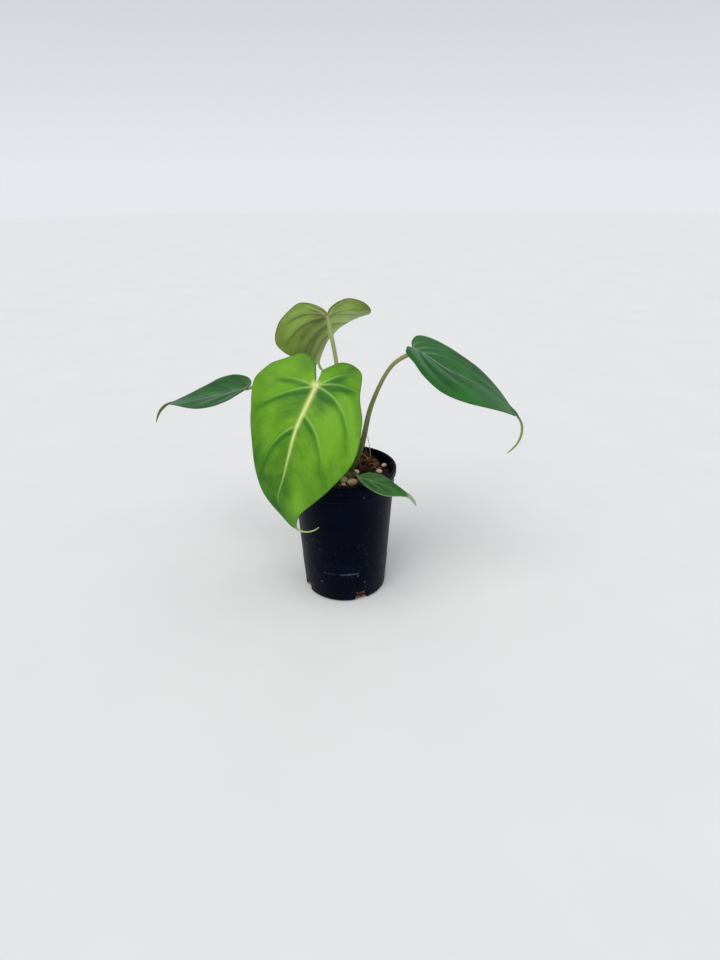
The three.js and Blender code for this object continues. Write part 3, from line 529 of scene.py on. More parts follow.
def leaf_marks(leaf, side, flat):
    """What the flat leaf says at each point: vein and midrib strengths, the pale band beside the veins that
    is partly painted sheen, the distance to the rim, the tone, the share along the blade, and the height of
    the quilting. Strengths are bells of the distance to a line. The tone adds painted shade in the valleys,
    painted light on the crests, and patches, all wide bells; the patches paint light and shade and partly the
    leaf's own paler or deeper green."""
    widths, length = leaf["half_width"], leaf["length"]
    half = 0 if side > 0 else 1
    points = flat.reshape(-1, 2) * [side, 1]
    size = math.sqrt(length / TYPICAL_LENGTH)
    vein, band_and_sheen, tone = np.zeros((3, len(points)))
    quilt_gap = np.full(len(points), 1e3)
    for vein_shares in leaf["veins"]:
        line = through([np.array([u * widths[0 if u > 0 else 1], v * length]) for u, v in vein_shares], 20)
        gap, share = distance_to_line(points, line)
        width = VEIN_WIDTH * size * (VEIN_TAPER[0] - VEIN_TAPER[1] * share)
        vein = np.maximum(vein, bell(gap, width) * (1 - share) ** VEIN_FADE)
        # The pale band beside each vein is partly painted sheen.
        fade = np.clip((1.02 - share) / BAND_AND_SHEEN_FADE, 0, 1)
        band_and_sheen = np.maximum(band_and_sheen, bell(gap, BAND_AND_SHEEN_WIDTH * size) * fade)
        quilt_gap = np.minimum(quilt_gap, gap + 4 * np.maximum(0, share - 0.9))
        # Painted shade in the valley on the tip side of each vein, and painted light on the crest on its
        # other side.
        for shift, width, amount in (VALLEY, CREST):
            beside, share = distance_to_line(points, line + [0, shift * size])
            tone += amount * bell(beside, width * size) * np.clip((1 - share) / TONE_FADE, 0, 1)
    along = points[:, 1] / length
    sway = smooth_curve(leaf["sway"], np.linspace(0, 1, 60))
    sway[:, 1] *= np.where(sway[:, 1] > 0, *widths)
    rib_gap, _ = distance_to_line(points, sway[:, ::-1] * [1, length])
    wide = np.clip(1 - along / 0.85, 0, 1) ** 1.2
    rib_width = leaf["rib"] * (MIDRIB_WIDTH[0] + (MIDRIB_WIDTH[1] - MIDRIB_WIDTH[0]) * wide)
    midrib = bell(rib_gap, rib_width) * np.clip((MIDRIB_FADE[0] - along) / MIDRIB_FADE[1], 0, 1)
    midrib = np.maximum(midrib, bell(np.hypot(*points.T), STAR_RADIUS * leaf["rib"]))
    quilt_gap = np.minimum(quilt_gap, rib_gap)
    outline = smooth_curve(OUTLINES[leaf["outline"][half]], np.linspace(0, 1, 90))
    outline = np.vstack([[0, 0], outline * [side * widths[half], length]])
    edge_gap = distance_to_line(points, outline)[0]
    # Patches paint soft light and shade, partly also the leaf's own paler or deeper green.
    for (u, v), spread, amount in leaf["light_shade_and_tone_patches"]:
        place = points / [widths[half], length] - [u, v]
        tone += amount * np.exp(-((place[:, 0] ** 2 + (1.3 * place[:, 1]) ** 2) / spread**2))
    fields = dict(vein=vein, band_and_sheen=band_and_sheen, midrib=midrib, rim=edge_gap, tone=tone, along=along,
                  crest=1 - bell(quilt_gap, QUILT_REACH * size), rib=bell(rib_gap, 1.5 * rib_width + 0.6))
    return {key: value.reshape(flat.shape[:2]) for key, value in fields.items()}


# %% [markdown]
# A real blade is about half a millimetre thick with a round edge. The upper and lower faces are the same
# grid, moved out along the normal by a thickness that falls to nothing at the edge like a quarter circle,
# so both faces meet there and close the shell. Veins are grooves above and ridges below, and the midrib is
# a keel that grows towards the stalk.

# %% Blade in space
# Millimetres: the blade's thickness, the radius of its edge, and how softly the crease at the midrib bends,
# on the blade and at the tip. Then the veins' groove and the midrib's ridge above, and the veins' ridge
# below.
BLADE_THICKNESS = 0.62
EDGE_ROUND = 0.45
CREASE_SOFT = (5.0, 0.7)
VEIN_GROOVE, MIDRIB_RIDGE, VEIN_RIDGE = 0.16, 0.1, 0.12
# Shares of the length between which the tip folds up, the tip turns and the crease hardens.
TIP_FOLDS, TIP_TURNS, CREASE_HARDENS = (0.93, 1.1), (0.96, 1.1), (0.9, 1.04)
TIP_UNFOLDS = 0.6
# The keel under the midrib: its depth as a share of the stalk's radius, its loss towards the tip, and the
# share that is left there. The quilting fades towards the edge, the midrib and the tip.
KEEL_SHARE, KEEL_LOSS, KEEL_LEFT = 0.62, 0.72, 0.16
QUILT_ACROSS, QUILT_POWER, QUILT_TIP = 0.86, 0.8, 1.6
# Rows crowd towards the stalk and columns towards the edge by these powers.
ROW_POWER, COLUMN_POWER = 1.12, 1.35


def ease(value, start, end):
    """0 before start, 1 after end, and a smooth cubic step between them."""
    w = np.clip((value - start) / (end - start), 0, 1)
    return w * w * (3 - 2 * w)


def blade_half(leaf, spine, side, rows, columns):
    """Upper and lower points of a half blade. Across the midrib the section is an arc that starts at the
    fold angle and bends by the curl, with the crease at the midrib eased over a few millimetres. The
    quilting is half a sine wave from midrib to edge. Both faces stand off along the normal by half the
    thickness, times a quarter circle near the edge."""
    half, length = 0 if side > 0 else 1, leaf["length"]
    a = np.linspace(0, 1, rows) ** ROW_POWER
    t = 1 - (1 - np.linspace(0, 1, columns)) ** COLUMN_POWER
    flat = flat_half(leaf, side, a, t)
    marks = leaf_marks(leaf, side, flat)
    u, v = flat[..., 0], flat[..., 1]
    tip_share = np.maximum(0, v - BLADE_END * length) / leaf["tip"][0]
    folded = math.radians(leaf["tip_fold"]) * ease(v / length, *TIP_FOLDS) * (1 - TIP_UNFOLDS * tip_share)
    fold = math.radians(leaf["fold"][half]) + folded
    bend = math.radians(leaf["curl"][half]) / leaf["half_width"][half]
    soft = CREASE_SOFT[0] + (CREASE_SOFT[1] - CREASE_SOFT[0]) * ease(v / length, *CREASE_HARDENS)
    crease = (math.radians(sum(leaf["fold"]) / 2) + folded) * np.exp(-u / soft)
    out = (np.sin(fold + bend * u) - np.sin(fold)) / bend
    rise = (np.cos(fold) - np.cos(fold + bend * u)) / bend + soft * crease
    slope = fold + bend * u - crease
    place, _, left, up = stations(spine, v / length)
    turn = (math.radians(leaf.get("tip_twist", 0)) * ease(v / length, *TIP_TURNS))[..., None]
    left, up = np.cos(turn) * left + np.sin(turn) * up, np.cos(turn) * up - np.sin(turn) * left
    across = np.minimum(1, QUILT_ACROSS * t)[None, :] ** QUILT_POWER
    towards_tip = np.minimum(1, QUILT_TIP - QUILT_TIP * a)
    towards_tip = np.concatenate([towards_tip, np.zeros(TIP_ROWS)])[:, None]
    swell = leaf["quilt"] * marks["crest"] * np.sin(np.pi * across) * towards_tip
    middle = place + (side * out)[..., None] * left + (rise + swell)[..., None] * up
    normal = np.cos(slope)[..., None] * up - (side * np.sin(slope))[..., None] * left
    half_width_here = np.concatenate([np.full(rows, 99.0), flat[rows:, -1, 0]])[:, None]
    gap = np.concatenate([marks["rim"][:rows], (half_width_here[rows:] - u[rows:])])
    gap[:rows, 0] = v[:rows, 0]
    gap[:, -1], gap[0, :], gap[-1, :] = 0, 0, 0
    edge = np.minimum(1, gap / np.minimum(EDGE_ROUND, 0.9 * half_width_here + 1e-9))
    edge = np.sqrt(1 - (1 - edge) ** 2)
    keel = KEEL_SHARE * leaf["radii"][1] * np.clip(1 - KEEL_LOSS * v / length, KEEL_LEFT, 1) * marks["rib"]
    groove = VEIN_GROOVE * marks["vein"] - MIDRIB_RIDGE * marks["midrib"]
    marks["fan"] = np.broadcast_to(np.concatenate([a, np.ones(TIP_ROWS)])[:, None], u.shape)
    marks["across"] = np.broadcast_to(side * t, u.shape)
    upper = middle + (edge * (BLADE_THICKNESS / 2 - groove))[..., None] * normal
    lower = middle - (edge * (BLADE_THICKNESS / 2 + VEIN_RIDGE * marks["vein"] + keel))[..., None] * normal
    return upper, lower, marks


MARKS = ("vein", "band_and_sheen", "midrib", "rim", "tone", "along", "under", "fan", "across")


def leaf_blade(name):
    """Both halves and both faces of a blade as one closed piece with its marks. There is about one row for
    each mm of length and a column for each mm and a half of width."""
    leaf = LEAVES[name]
    spine = walk_midrib(leaf)
    rows, columns = round(60 + leaf["length"] * 1.15), round(14 + max(leaf["half_width"]) * 0.75)
    points, faces = [], []
    marks = {key: [] for key in MARKS}
    for side in (1, -1):
        upper, lower, found = blade_half(leaf, spine, side, rows, columns)
        for face, under in ((upper, 0.0), (lower, 1.0)):
            faces.append(grid_faces(rows + TIP_ROWS, columns, sum(map(len, points))))
            points.append(face.reshape(-1, 3))
            found["under"] = np.full(found["rim"].shape, under)
            for key in MARKS:
                marks[key].append(found[key].ravel())
    marks = {key: np.concatenate(value) for key, value in marks.items()}
    node = f"leaf_{name}"
    return piece(f"blade_{name}", np.concatenate(points), np.concatenate(faces), [node], marks)


blades = {name: leaf_blade(name) for name in LEAVES}

# %% [markdown]
# ## Petioles and the creeping stem
#
# Each leaf stands on a petiole, a round stalk that is thickest where it leaves the stem and swells a
# little under the blade. It is a tube swept along a smooth curve through a few points, the same points as
# in the solid. Only the last point differs: the stalk runs on until it touches the underside of the blade.


# %% Petioles
PETIOLE_ROWS, PETIOLE_SIDES = 120, 24
STEM_ROWS, STEM_SIDES = 150, 40
DOME_RINGS = 6
# The stalk stops under the blade by this share of its own radius, and reaches past its base by these mm.
UNDER_BLADE, PAST_BASE = 0.72, 1.2
# The swelling below the blade: its share of the radius, its place, its reach and the loss after it.
SWELLING = (0.1, 0.95, 0.05, 0.18)


def centripetal_curve(points, count):
    """A curve through points whose cubic pieces are paced by the square root of the distance between
    them, so that it doesn't loop. Returned as count points that are equally far apart, and its length."""
    p = np.asarray(points, float)
    p = np.vstack([2 * p[0] - p[1], p, 2 * p[-1] - p[-2]])
    pace = np.sqrt(np.linalg.norm(np.diff(p, axis=0), axis=1))
    w = np.linspace(0, 1, 60)[:, None]
    parts = []
    for k in range(1, len(p) - 2):
        d0, d1, d2 = pace[k - 1 : k + 2]
        a, b, c, d = p[k - 1 : k + 3]
        v0 = d1 * ((b - a) / d0 - (c - a) / (d0 + d1) + (c - b) / d1)
        v1 = d1 * ((c - b) / d1 - (d - b) / (d1 + d2) + (d - c) / d2)
        parts.append((2 * b - 2 * c + v0 + v1) * w**3 + (-3 * b + 3 * c - 2 * v0 - v1) * w**2 + v0 * w + b)
    path = np.concatenate(parts)
    run = np.concatenate([[0], np.cumsum(np.linalg.norm(np.diff(path, axis=0), axis=1))])
    places = np.linspace(0, run[-1], count)
    return np.stack([np.interp(places, run, path[:, k]) for k in range(3)], -1), run[-1]


def domed(path, radius):
    """Adds a dome to both ends of a path with radii, as rings that shrink on a quarter circle."""
    first, last = path[0] - path[1], path[-1] - path[-2]
    first, last = first / np.linalg.norm(first), last / np.linalg.norm(last)
    reach = np.linspace(1, 0, DOME_RINGS + 1)[:-1]
    shrink = np.sqrt(1 - reach**2)
    head = path[0] + np.outer(reach * radius[0], first)
    tail = path[-1] + np.outer(reach[::-1] * radius[-1], last)
    radius = np.concatenate([shrink * radius[0], radius, shrink[::-1] * radius[-1]])
    return np.vstack([head, path, tail]), radius


def ringed(values, sides, first=0.0, last=0.0):
    """A value for every point of a domed tube: one for each ring, and first and last for the domes."""
    return np.repeat(np.concatenate([np.full(DOME_RINGS, first), values, np.full(DOME_RINGS, last)]), sides)


def petiole(name):
    """A domed tube along the curve from foot to blade. Its radius falls in a straight line and swells like
    a bell below the blade. Its marks are the share of its length, the length in units of 100 mm, and the
    cosine and sine of the angle round it."""
    leaf = LEAVES[name]
    thick, thin = leaf["radii"]
    place, along, _, up = (x[0] for x in stations(walk_midrib(leaf), np.array([0.0])))
    top = place - up * (BLADE_THICKNESS / 2 + UNDER_BLADE * thin) + along * PAST_BASE
    path, length = centripetal_curve([leaf["foot"], *leaf["via"], top], PETIOLE_ROWS)
    t = np.linspace(0, 1, len(path))
    radius = thick + (thin - thick) * np.minimum(1, 1.4 * t)
    swell, at, reach, loss = SWELLING
    radius *= 1 + swell * np.exp(-(((t - at) / reach) ** 2)) - loss * np.clip((t - 0.96) / 0.04, 0, 1)
    path, radius = domed(path, radius)
    points, turn = swept(path, radius, PETIOLE_SIDES)
    share = ringed(t, PETIOLE_SIDES, 0, 1)
    marks = dict(along=share, reach=share * length / 100,
                 ring_x=np.cos(2 * np.pi * turn), ring_y=np.sin(2 * np.pi * turn))
    faces = grid_faces(len(path), PETIOLE_SIDES, close=True)
    return piece(f"stalk_{name}", points, faces, [f"petiole_{name}"], marks)


stalks = {name: petiole(name) for name in LEAVES}

# %% [markdown]
# The plant creeps along the top of its mix on a thick stem with a ring scar for every leaf it has lost.
# It is the same kind of tube, with its radius raised in narrow rings.


# %% Creeping stem
STEM_ENDS, STEM_RISE, STEM_RADIUS = [(15, -11, 117.0), (-17, 10, 118.5)], 1, 6.2
SCARS = (0.1, 0.22, 0.3, 0.42, 0.5, 0.62, 0.72, 0.8, 0.9)
SCAR_WIDTH, SCAR_HEIGHT, STEM_INSET = 0.012, 0.35, 0.3


def creeping_stem():
    """A domed tube along a low quadratic arc. Its radius bulges like half a sine wave with small ripples,
    narrow bells raise the scars, and a wave of five lobes makes it less round."""
    start, end = np.array(STEM_ENDS)
    middle = (start + end) / 2 + [0, 0, STEM_RISE]
    t = np.linspace(0, 1, STEM_ROWS)
    w = t[:, None]
    path = (1 - w) ** 2 * start + 2 * w * (1 - w) * middle + w**2 * end
    girth = STEM_RADIUS * (0.82 + 0.22 * np.sin(np.pi * t) + 0.06 * np.cos(10 * np.pi * t))
    scar = np.max([bell(t - c, SCAR_WIDTH) for c in SCARS], axis=0)
    path, girth = domed(path, girth + SCAR_HEIGHT * scar - STEM_INSET)
    points, turn = swept(path, girth, STEM_SIDES)
    wobble = 1 + 0.02 * np.sin(2 * np.pi * turn * 5 + points[:, 0] * 0.4)
    centre = np.repeat(path, STEM_SIDES, axis=0)
    points = centre + (points - centre) * wobble[:, None]
    faces = grid_faces(len(path), STEM_SIDES, close=True)
    marks = dict(scar=ringed(scar, STEM_SIDES))
    return piece("creeping_stem", points, faces, ["rhizome"], marks)


stem = creeping_stem()

# %% [markdown]
# ## The pot
#
# A nursery pot is blown or moulded in thin black plastic: a plain taper with a collar and a rolled lip, a
# shallow step near the foot and four drainage notches in its bottom edge. It is turned like a vase, as a
# profile of radius and height whose corners are rounded by short curves. The notches are cut with a
# Boolean modifier, because they cross both the wall and the floor.

# %% Pot
# Millimetres, and TAPER is the growth of the radius for each mm of height.
RIM_RADIUS, BASE_RADIUS, POT_HEIGHT = 50.0, 40.0, 129.0
WALL, FLOOR, TAPER = 1.3, 1.8, 0.0674
RING_Z, RING_STEP = 33.0, 0.35
LIP_Z, COLLAR_Z, COLLAR_RADIUS = 123.0, 113.0, 48.15
BOTTOM_ROUND, FLOOR_ROUND, CORNER_ROUND = 2.2, 1.5, 0.7
POT_SIDES = 200
SHARP_POT_EDGE = 32
NOTCH = dict(count=4, width=12.5, height=10.5, round=2.5, inwards=7, outwards=4, first_azimuth=-66)


def rounded(profile, reach):
    """Each inner corner of a profile is cut back by reach along both its edges, and the gap is bridged by a
    quadratic curve."""
    profile = np.asarray(profile, float)
    out = [profile[0]]
    w = np.linspace(0, 1, 5)[:, None]
    for before, corner, after in zip(profile[:-2], profile[1:-1], profile[2:]):
        a, b = before - corner, after - corner
        a = corner + a * min(0.45, reach / np.linalg.norm(a))
        b = corner + b * min(0.45, reach / np.linalg.norm(b))
        out.extend((1 - w) ** 2 * a + 2 * w * (1 - w) * corner + w**2 * b)
    return np.array([*out, profile[-1]])


def turned(profile, sides):
    """A profile of radius and height turned round the Z axis. Points on the axis merge into poles."""
    angle = np.linspace(0, 2 * np.pi, sides, endpoint=False)
    r, z = profile.T
    x, y = np.outer(r, np.cos(angle)), np.outer(r, np.sin(angle))
    points = np.stack([x, y, np.repeat(z[:, None], sides, 1)], -1)
    return points.reshape(-1, 3), grid_faces(len(profile), sides, close=True)


def wall_radius(z):
    """The wall's outer radius grows in a straight line with height."""
    return BASE_RADIUS + TAPER * z


def notch_azimuth(index):
    """The notches are spread evenly round the pot. Degrees."""
    return NOTCH["first_azimuth"] + 360 / NOTCH["count"] * index


def notch_cutter(index):
    """An arch with round upper corners, pushed through the bottom edge from outside: two copies of its
    outline, joined all round."""
    half, top, corner = NOTCH["width"] / 2, NOTCH["height"], NOTCH["round"]
    bow = np.radians(np.linspace(0, 90, 7))
    right = np.stack([half - corner + corner * np.cos(bow), top - corner + corner * np.sin(bow)], -1)
    arch = np.vstack([[(half, -1)], right, right[::-1] * [-1, 1], [(-half, -1)]])
    depths = (BASE_RADIUS - NOTCH["inwards"], BASE_RADIUS + NOTCH["outwards"])
    points = np.array([(depth, x, z) for depth in depths for x, z in arch]) @ about_z(notch_azimuth(index))
    n = len(arch)
    sides = [[i, (i + 1) % n, n + (i + 1) % n, n + i] for i in range(n)]
    mesh, _ = closed_mesh("notch", points, [list(range(n))[::-1], list(range(n, 2 * n)), *sides])
    return placed("notch", mesh)


def nursery_pot():
    """The profile runs from the middle of the underside up the outside, over the lip, down the inside and
    back to the middle of the floor. It is turned, and the notches are taken out of it."""
    def inner(z):
        """The wall's outer radius less the wall."""
        return wall_radius(z) - WALL

    profile = [
        (0, 0), (BASE_RADIUS - BOTTOM_ROUND, 0), (wall_radius(1.8), 1.8),
        (wall_radius(RING_Z - 0.5) + RING_STEP, RING_Z - 0.5), (wall_radius(RING_Z), RING_Z),
        (wall_radius(COLLAR_Z), COLLAR_Z), (COLLAR_RADIUS, COLLAR_Z + 0.5), (COLLAR_RADIUS, LIP_Z),
        (RIM_RADIUS - 0.2, LIP_Z), (RIM_RADIUS, LIP_Z + 0.6), (RIM_RADIUS, POT_HEIGHT - 0.8),
        (RIM_RADIUS - 0.8, POT_HEIGHT), (inner(LIP_Z) + 0.6, POT_HEIGHT), (inner(LIP_Z), POT_HEIGHT - 1.2),
        (inner(LIP_Z), LIP_Z), (inner(FLOOR + FLOOR_ROUND), FLOOR + FLOOR_ROUND),
        (inner(FLOOR) - FLOOR_ROUND, FLOOR), (0, FLOOR),
    ]
    points, faces = turned(rounded(profile, CORNER_ROUND), POT_SIDES)
    pot = piece("nursery_pot_shell", points, faces, ["nursery_pot"], merge=1e-3)
    cutters = [notch_cutter(i) for i in range(NOTCH["count"])]
    for cutter in cutters:
        cut = pot.modifiers.new("notch", "BOOLEAN")
        cut.operation, cut.solver, cut.object = "DIFFERENCE", "EXACT", cutter
    bpy.context.view_layer.update()
    done = bpy.data.meshes.new_from_object(pot.evaluated_get(bpy.context.evaluated_depsgraph_get()))
    pot.modifiers.clear()
    pot.data = done
    for cutter in cutters:
        bpy.data.objects.remove(cutter)
    pot.data.shade_smooth()
    pot.data.set_sharp_from_angle(angle=math.radians(SHARP_POT_EDGE))
    print("pot with notches:", len(pot.data.polygons), "faces")
    return pot


pot = nursery_pot()

# %% [markdown]
# ## The potting mix
#
# The mix is chunky: bark chips, a little loam between them, round pebbles and many wiry brown fibres,
# heaped up behind the stem. The bed is a round height field made of waves and a cheap repeatable noise,
# and everything that lies on it takes its height from the same function. Chips and fibres are drawn from
# one seeded random source, so every run scatters them alike.

# %% Bed of mix
# Millimetres. A mound is a place, a radius and a rise. A crumb layer is a height, a cell size and a seed.
SOIL_LEVEL = 117.5
SOIL_MOUNDS = [((0, 0), 30, 2.5), ((18, 33), 24, 7)]
CRUMB_LAYERS = [(2.0, 3.1, 1), (1.1, 1.4, 2)]
BED_SECTORS, BED_RINGS = 300, 110
BED_GAP = 0.35


def soil_height(x, y):
    """A level, cones for the mounds, and two crossing waves."""
    waves = np.sin(0.33 * x + 1.1) * np.cos(0.29 * y) + 0.7 * np.sin(0.61 * x - 0.47 * y + 0.6)
    height = SOIL_LEVEL + 0.8 * waves
    for (cx, cy), radius, rise in SOIL_MOUNDS:
        height = height + rise * np.maximum(0, 1 - np.hypot(x - cx, y - cy) / radius)
    return height


def lattice_noise(x, y, cell, seed):
    """Random numbers at the corners of square cells, blended across each cell with smooth cubic weights."""
    corners = np.random.default_rng(seed).random((64, 64))
    gx, gy = x / cell, y / cell
    ix, iy = np.floor(gx).astype(int), np.floor(gy).astype(int)
    fx, fy = gx - ix, gy - iy
    fx, fy = fx * fx * (3 - 2 * fx), fy * fy * (3 - 2 * fy)
    low, high = (
        corners[ix % 64, (iy + up) % 64] * (1 - fx) + corners[(ix + 1) % 64, (iy + up) % 64] * fx
        for up in (0, 1)
    )
    return low * (1 - fy) + high * fy - 0.5


def crumbly_height(x, y):
    """The height of the mix with its crumb layers of noise added."""
    height = soil_height(x, y)
    for rise, cell, seed in CRUMB_LAYERS:
        height = height + rise * lattice_noise(x, y, cell, seed)
    return height


def mix_bed():
    """A plug turned round the axis: a point under the middle, two rings up the side, and rings from the
    wall to the middle that follow the crumbly height."""
    def inside(z):
        """The wall's outer radius less the wall and a small gap."""
        return wall_radius(z) - WALL - BED_GAP

    foot, side = FLOOR + BED_GAP, FLOOR + 2.6
    angle = np.linspace(0, 2 * np.pi, BED_SECTORS, endpoint=False)
    top = np.linspace(inside(SOIL_LEVEL - 3), 0, BED_RINGS)
    radius = np.concatenate([[0, inside(foot) - BOTTOM_ROUND, inside(side)], top])
    x, y = np.outer(radius, np.cos(angle)), np.outer(radius, np.sin(angle))
    z = crumbly_height(x, y)
    z[0], z[1], z[2] = foot, foot, side
    z[-1] = z[-1].mean()
    points = np.stack([x, y, z], -1).reshape(-1, 3)
    faces = grid_faces(len(radius), BED_SECTORS, close=True)
    return piece("mix_bed", points, faces, ["potting_substrate"])


bed = mix_bed()

# %% Chips and crumbs
random = np.random.default_rng(31)
BLOCKY_EDGE = 38
POT_INSIDE = 45.0


def turn_about(angles):
    """Rotation matrices from yaw and lean angles, for many bodies at once: a lean about X, then a yaw
    about Z."""
    yaw, lean = angles.T
    c, s, d, e = np.cos(yaw), np.sin(yaw), np.cos(lean), np.sin(lean)
    zero, one = np.zeros_like(c), np.ones_like(c)

    def rows(*entries):
        """Matrices from their nine entries, row by row."""
        return np.stack(entries, -1).reshape(-1, 3, 3)

    return rows(c, -s, zero, s, c, zero, zero, zero, one) @ rows(one, zero, zero, zero, d, -e, zero, e, d)


def scatter(name, centres, sizes, angles, roughness, tones, blocky=0.0):
    """Copies of one ball, each stretched, roughened by its own random lengths, turned and placed. blocky
    pushes the ball towards a box by a power below 1 of its coordinates."""
    base, faces = icosphere(2)
    if blocky:
        base = np.sign(base) * np.abs(base) ** (1 - blocky)
    lengths = 1 + roughness * (random.random((len(centres), len(base), 1)) - 0.5)
    shapes = base[None] * lengths * sizes[:, None]
    points = np.einsum("nij,nkj->nki", turn_about(angles), shapes) + centres[:, None]
    all_faces = (faces[None] + (np.arange(len(centres)) * len(base))[:, None, None]).reshape(-1, 3)
    marks, sharp = dict(tone=np.repeat(tones, len(base))), BLOCKY_EDGE if blocky else None
    return piece(name, points.reshape(-1, 3), all_faces, (), marks, merge=1e-6, sharp=sharp)


def on_bed(count, half_lengths, lift):
    """Random places on the mix, spread evenly over the pot's opening and clear of its wall."""
    radius = POT_INSIDE * np.sqrt(random.random(count))
    angle = 2 * np.pi * random.random(count)
    radius = np.minimum(radius, POT_INSIDE - half_lengths)
    x, y = radius * np.cos(angle), radius * np.sin(angle)
    return np.stack([x, y, crumbly_height(x, y) + lift], -1)


CHIPS = 420
chip = 1.3 + 3.2 * random.random(CHIPS) ** 2
chip_sizes = np.stack([chip, chip * (0.5 + 0.3 * random.random(CHIPS)), 0.5 + 0.32 * chip], -1)
chip_angles = np.stack([2 * np.pi * random.random(CHIPS), 0.9 * (random.random(CHIPS) - 0.5)], -1)
chip_places = on_bed(CHIPS, chip, 0.1)
chips = scatter("bark_chips", chip_places, chip_sizes, chip_angles, 0.35, random.random(CHIPS), blocky=0.35)

CRUMBS = 900
crumb = 0.45 + 0.7 * random.random(CRUMBS)
crumb_places = on_bed(CRUMBS, crumb, 0.3)
crumb_sizes = np.stack([crumb, crumb * 0.9, crumb * 0.8], -1)
crumb_angles = np.stack([6.3 * random.random(CRUMBS), 3 * random.random(CRUMBS)], -1)
crumbs = scatter("loam_crumbs", crumb_places, crumb_sizes, crumb_angles, 0.5, random.random(CRUMBS))

# %% Pebbles
# Place, half sizes and turn of each pebble, and its tone from dark to pale.
PEBBLES = [
    ((8.3, -21.2, 120.8), (4.6, 4.2, 3.8), 20, 0.78), ((0.9, -16.6, 121), (3.6, 3.4, 3.5), 70, 0.3),
    ((0.2, -22.6, 119.2), (2.6, 2.2, 2), 0, 0.7), ((12.5, 4.2, 119.6), (2, 3.4, 2.2), 30, 0.95),
    ((39.2, 18.6, 119.9), (2.8, 2.1, 2.2), 25, 0.72), ((33.5, 8.6, 118.2), (4.2, 2.4, 2), -25, 0.85),
    ((-24, -20, 118.6), (4.4, 3.6, 3.2), 40, 0.5), ((-33, 8, 118.4), (3.8, 3.2, 3), 0, 0.75),
    ((-12, 30, 118.5), (4, 3.3, 3), 60, 0.4), ((21, -33, 118.4), (4, 3.4, 3.2), 15, 0.65),
]


def pebbles():
    """Balls stretched to their half sizes, dented by slow waves that differ from one to the next."""
    base, faces = icosphere(4)
    x, y, z = base.T
    points = []
    for k, (centre, size, turn, _) in enumerate(PEBBLES):
        dents = 1 + 0.07 * np.sin(2.3 * x + k) * np.cos(2.9 * y - k) + 0.04 * np.sin(4.1 * z + 2 * k)
        points.append((base * dents[:, None] * size) @ about_z(turn) + centre)
    all_faces = np.concatenate([faces + k * len(base) for k in range(len(PEBBLES))])
    tones = np.repeat([tone for *_, tone in PEBBLES], len(base))
    return piece("pebbles", np.concatenate(points), all_faces, (), dict(tone=tones))


stones = pebbles()

# %% [markdown]
# The fibres are thin and springy, so each is a bent tube with four sides. Most rise at the back of the
# pot, on the higher mound, and four fine ones stand up above the rim.


# %% Fibres
FIBRE_STEPS, FIBRE_SIDES, FIBRE_TAPER = 9, 4, 0.65
FIBRES_INSIDE = 44


def bent_tubes(name, routes, radii, tones):
    """Four-sided tubes along quadratic curves, closed at both ends. The radius loses a share that grows
    with the square of the length, so about a third of it is left at the tip."""
    t = np.linspace(0, 1, FIBRE_STEPS)[:, None]
    size = FIBRE_STEPS * FIBRE_SIDES
    points, faces = [], []
    for k, ((a, b, c), radius) in enumerate(zip(routes, radii)):
        path = (1 - t) ** 2 * a + 2 * t * (1 - t) * b + t**2 * c
        points.append(swept(path, radius * (1 - FIBRE_TAPER * t[:, 0] ** 2), FIBRE_SIDES, (0.3, 0.5, 0.8))[0])
        faces.extend(grid_faces(FIBRE_STEPS, FIBRE_SIDES, k * size, close=True).tolist())
        faces.extend([[k * size + i for i in (3, 2, 1, 0)], [(k + 1) * size - 4 + i for i in range(4)]])
    marks = dict(tone=np.repeat(tones, size))
    return piece(name, np.concatenate(points), faces, (), marks, merge=1e-6)


def fibre_routes(count, centre, spread, rise):
    """Arcs that start in the mix, rise over it and dip back in, three points each. An arc that would come
    near the pot's wall is left out."""
    middle = np.array(centre) + (random.random((count, 2)) - 0.5) * spread
    turn = 2 * np.pi * random.random(count)
    reach = 3.5 + 6 * random.random(count)
    way = np.stack([np.cos(turn), np.sin(turn)], -1)
    lift = rise * (0.25 + random.random(count))
    routes = []
    for m, w, r, h in zip(middle, way, reach, lift):
        start, end = m - w * r, m + w * r * 0.8
        if max(np.hypot(*start), np.hypot(*end)) < FIBRES_INSIDE:
            z = float(soil_height(*m))
            bend = m + (random.random(2) - 0.5) * 5
            routes.append(np.array([(*start, z - 1.5), (*bend, z + 2 * h), (*end, z + 0.3 * h)]))
    return routes


routes = fibre_routes(210, (14, 25), (34, 36), 4.5) + fibre_routes(90, (0, 0), (80, 80), 1.8)
radii = 0.16 + 0.24 * random.random(len(routes))
fibres = bent_tubes("wiry_fibres", routes, radii, random.random(len(routes)))
# The standing ones: start, control and end point of each.
STANDING = np.array([
    ((26, 33, 116), (27, 38, 131), (21.5, 36.5, 147.5)), ((28, 31, 116), (24, 36, 133), (24.5, 38, 142.5)),
    ((24, 34, 117), (22, 36, 128), (19.5, 38, 139)), ((29, 32, 118), (26, 30, 126), (20, 30, 131)),
])
standing = bent_tubes("standing_fibres", STANDING, [0.4, 0.36, 0.3, 0.3], [0.95, 0.9, 0.6, 0.7])

# %% [markdown]
# Water carries small chips to the drainage notches, where they are washed clean and look redder than the
# rest. They are scattered over the side of the mix behind each notch, and stay inside the pot's wall.


# %% Chips at the notches
# Millimetres: the lowest place of a chip, what the places leave free of a notch's height and width, and
# how far behind the wall they are.
LOWEST, OFF_HEIGHT, OFF_WIDTH, BEHIND_WALL = 3.2, 4.4, 3, 1.1
WASHED = 110


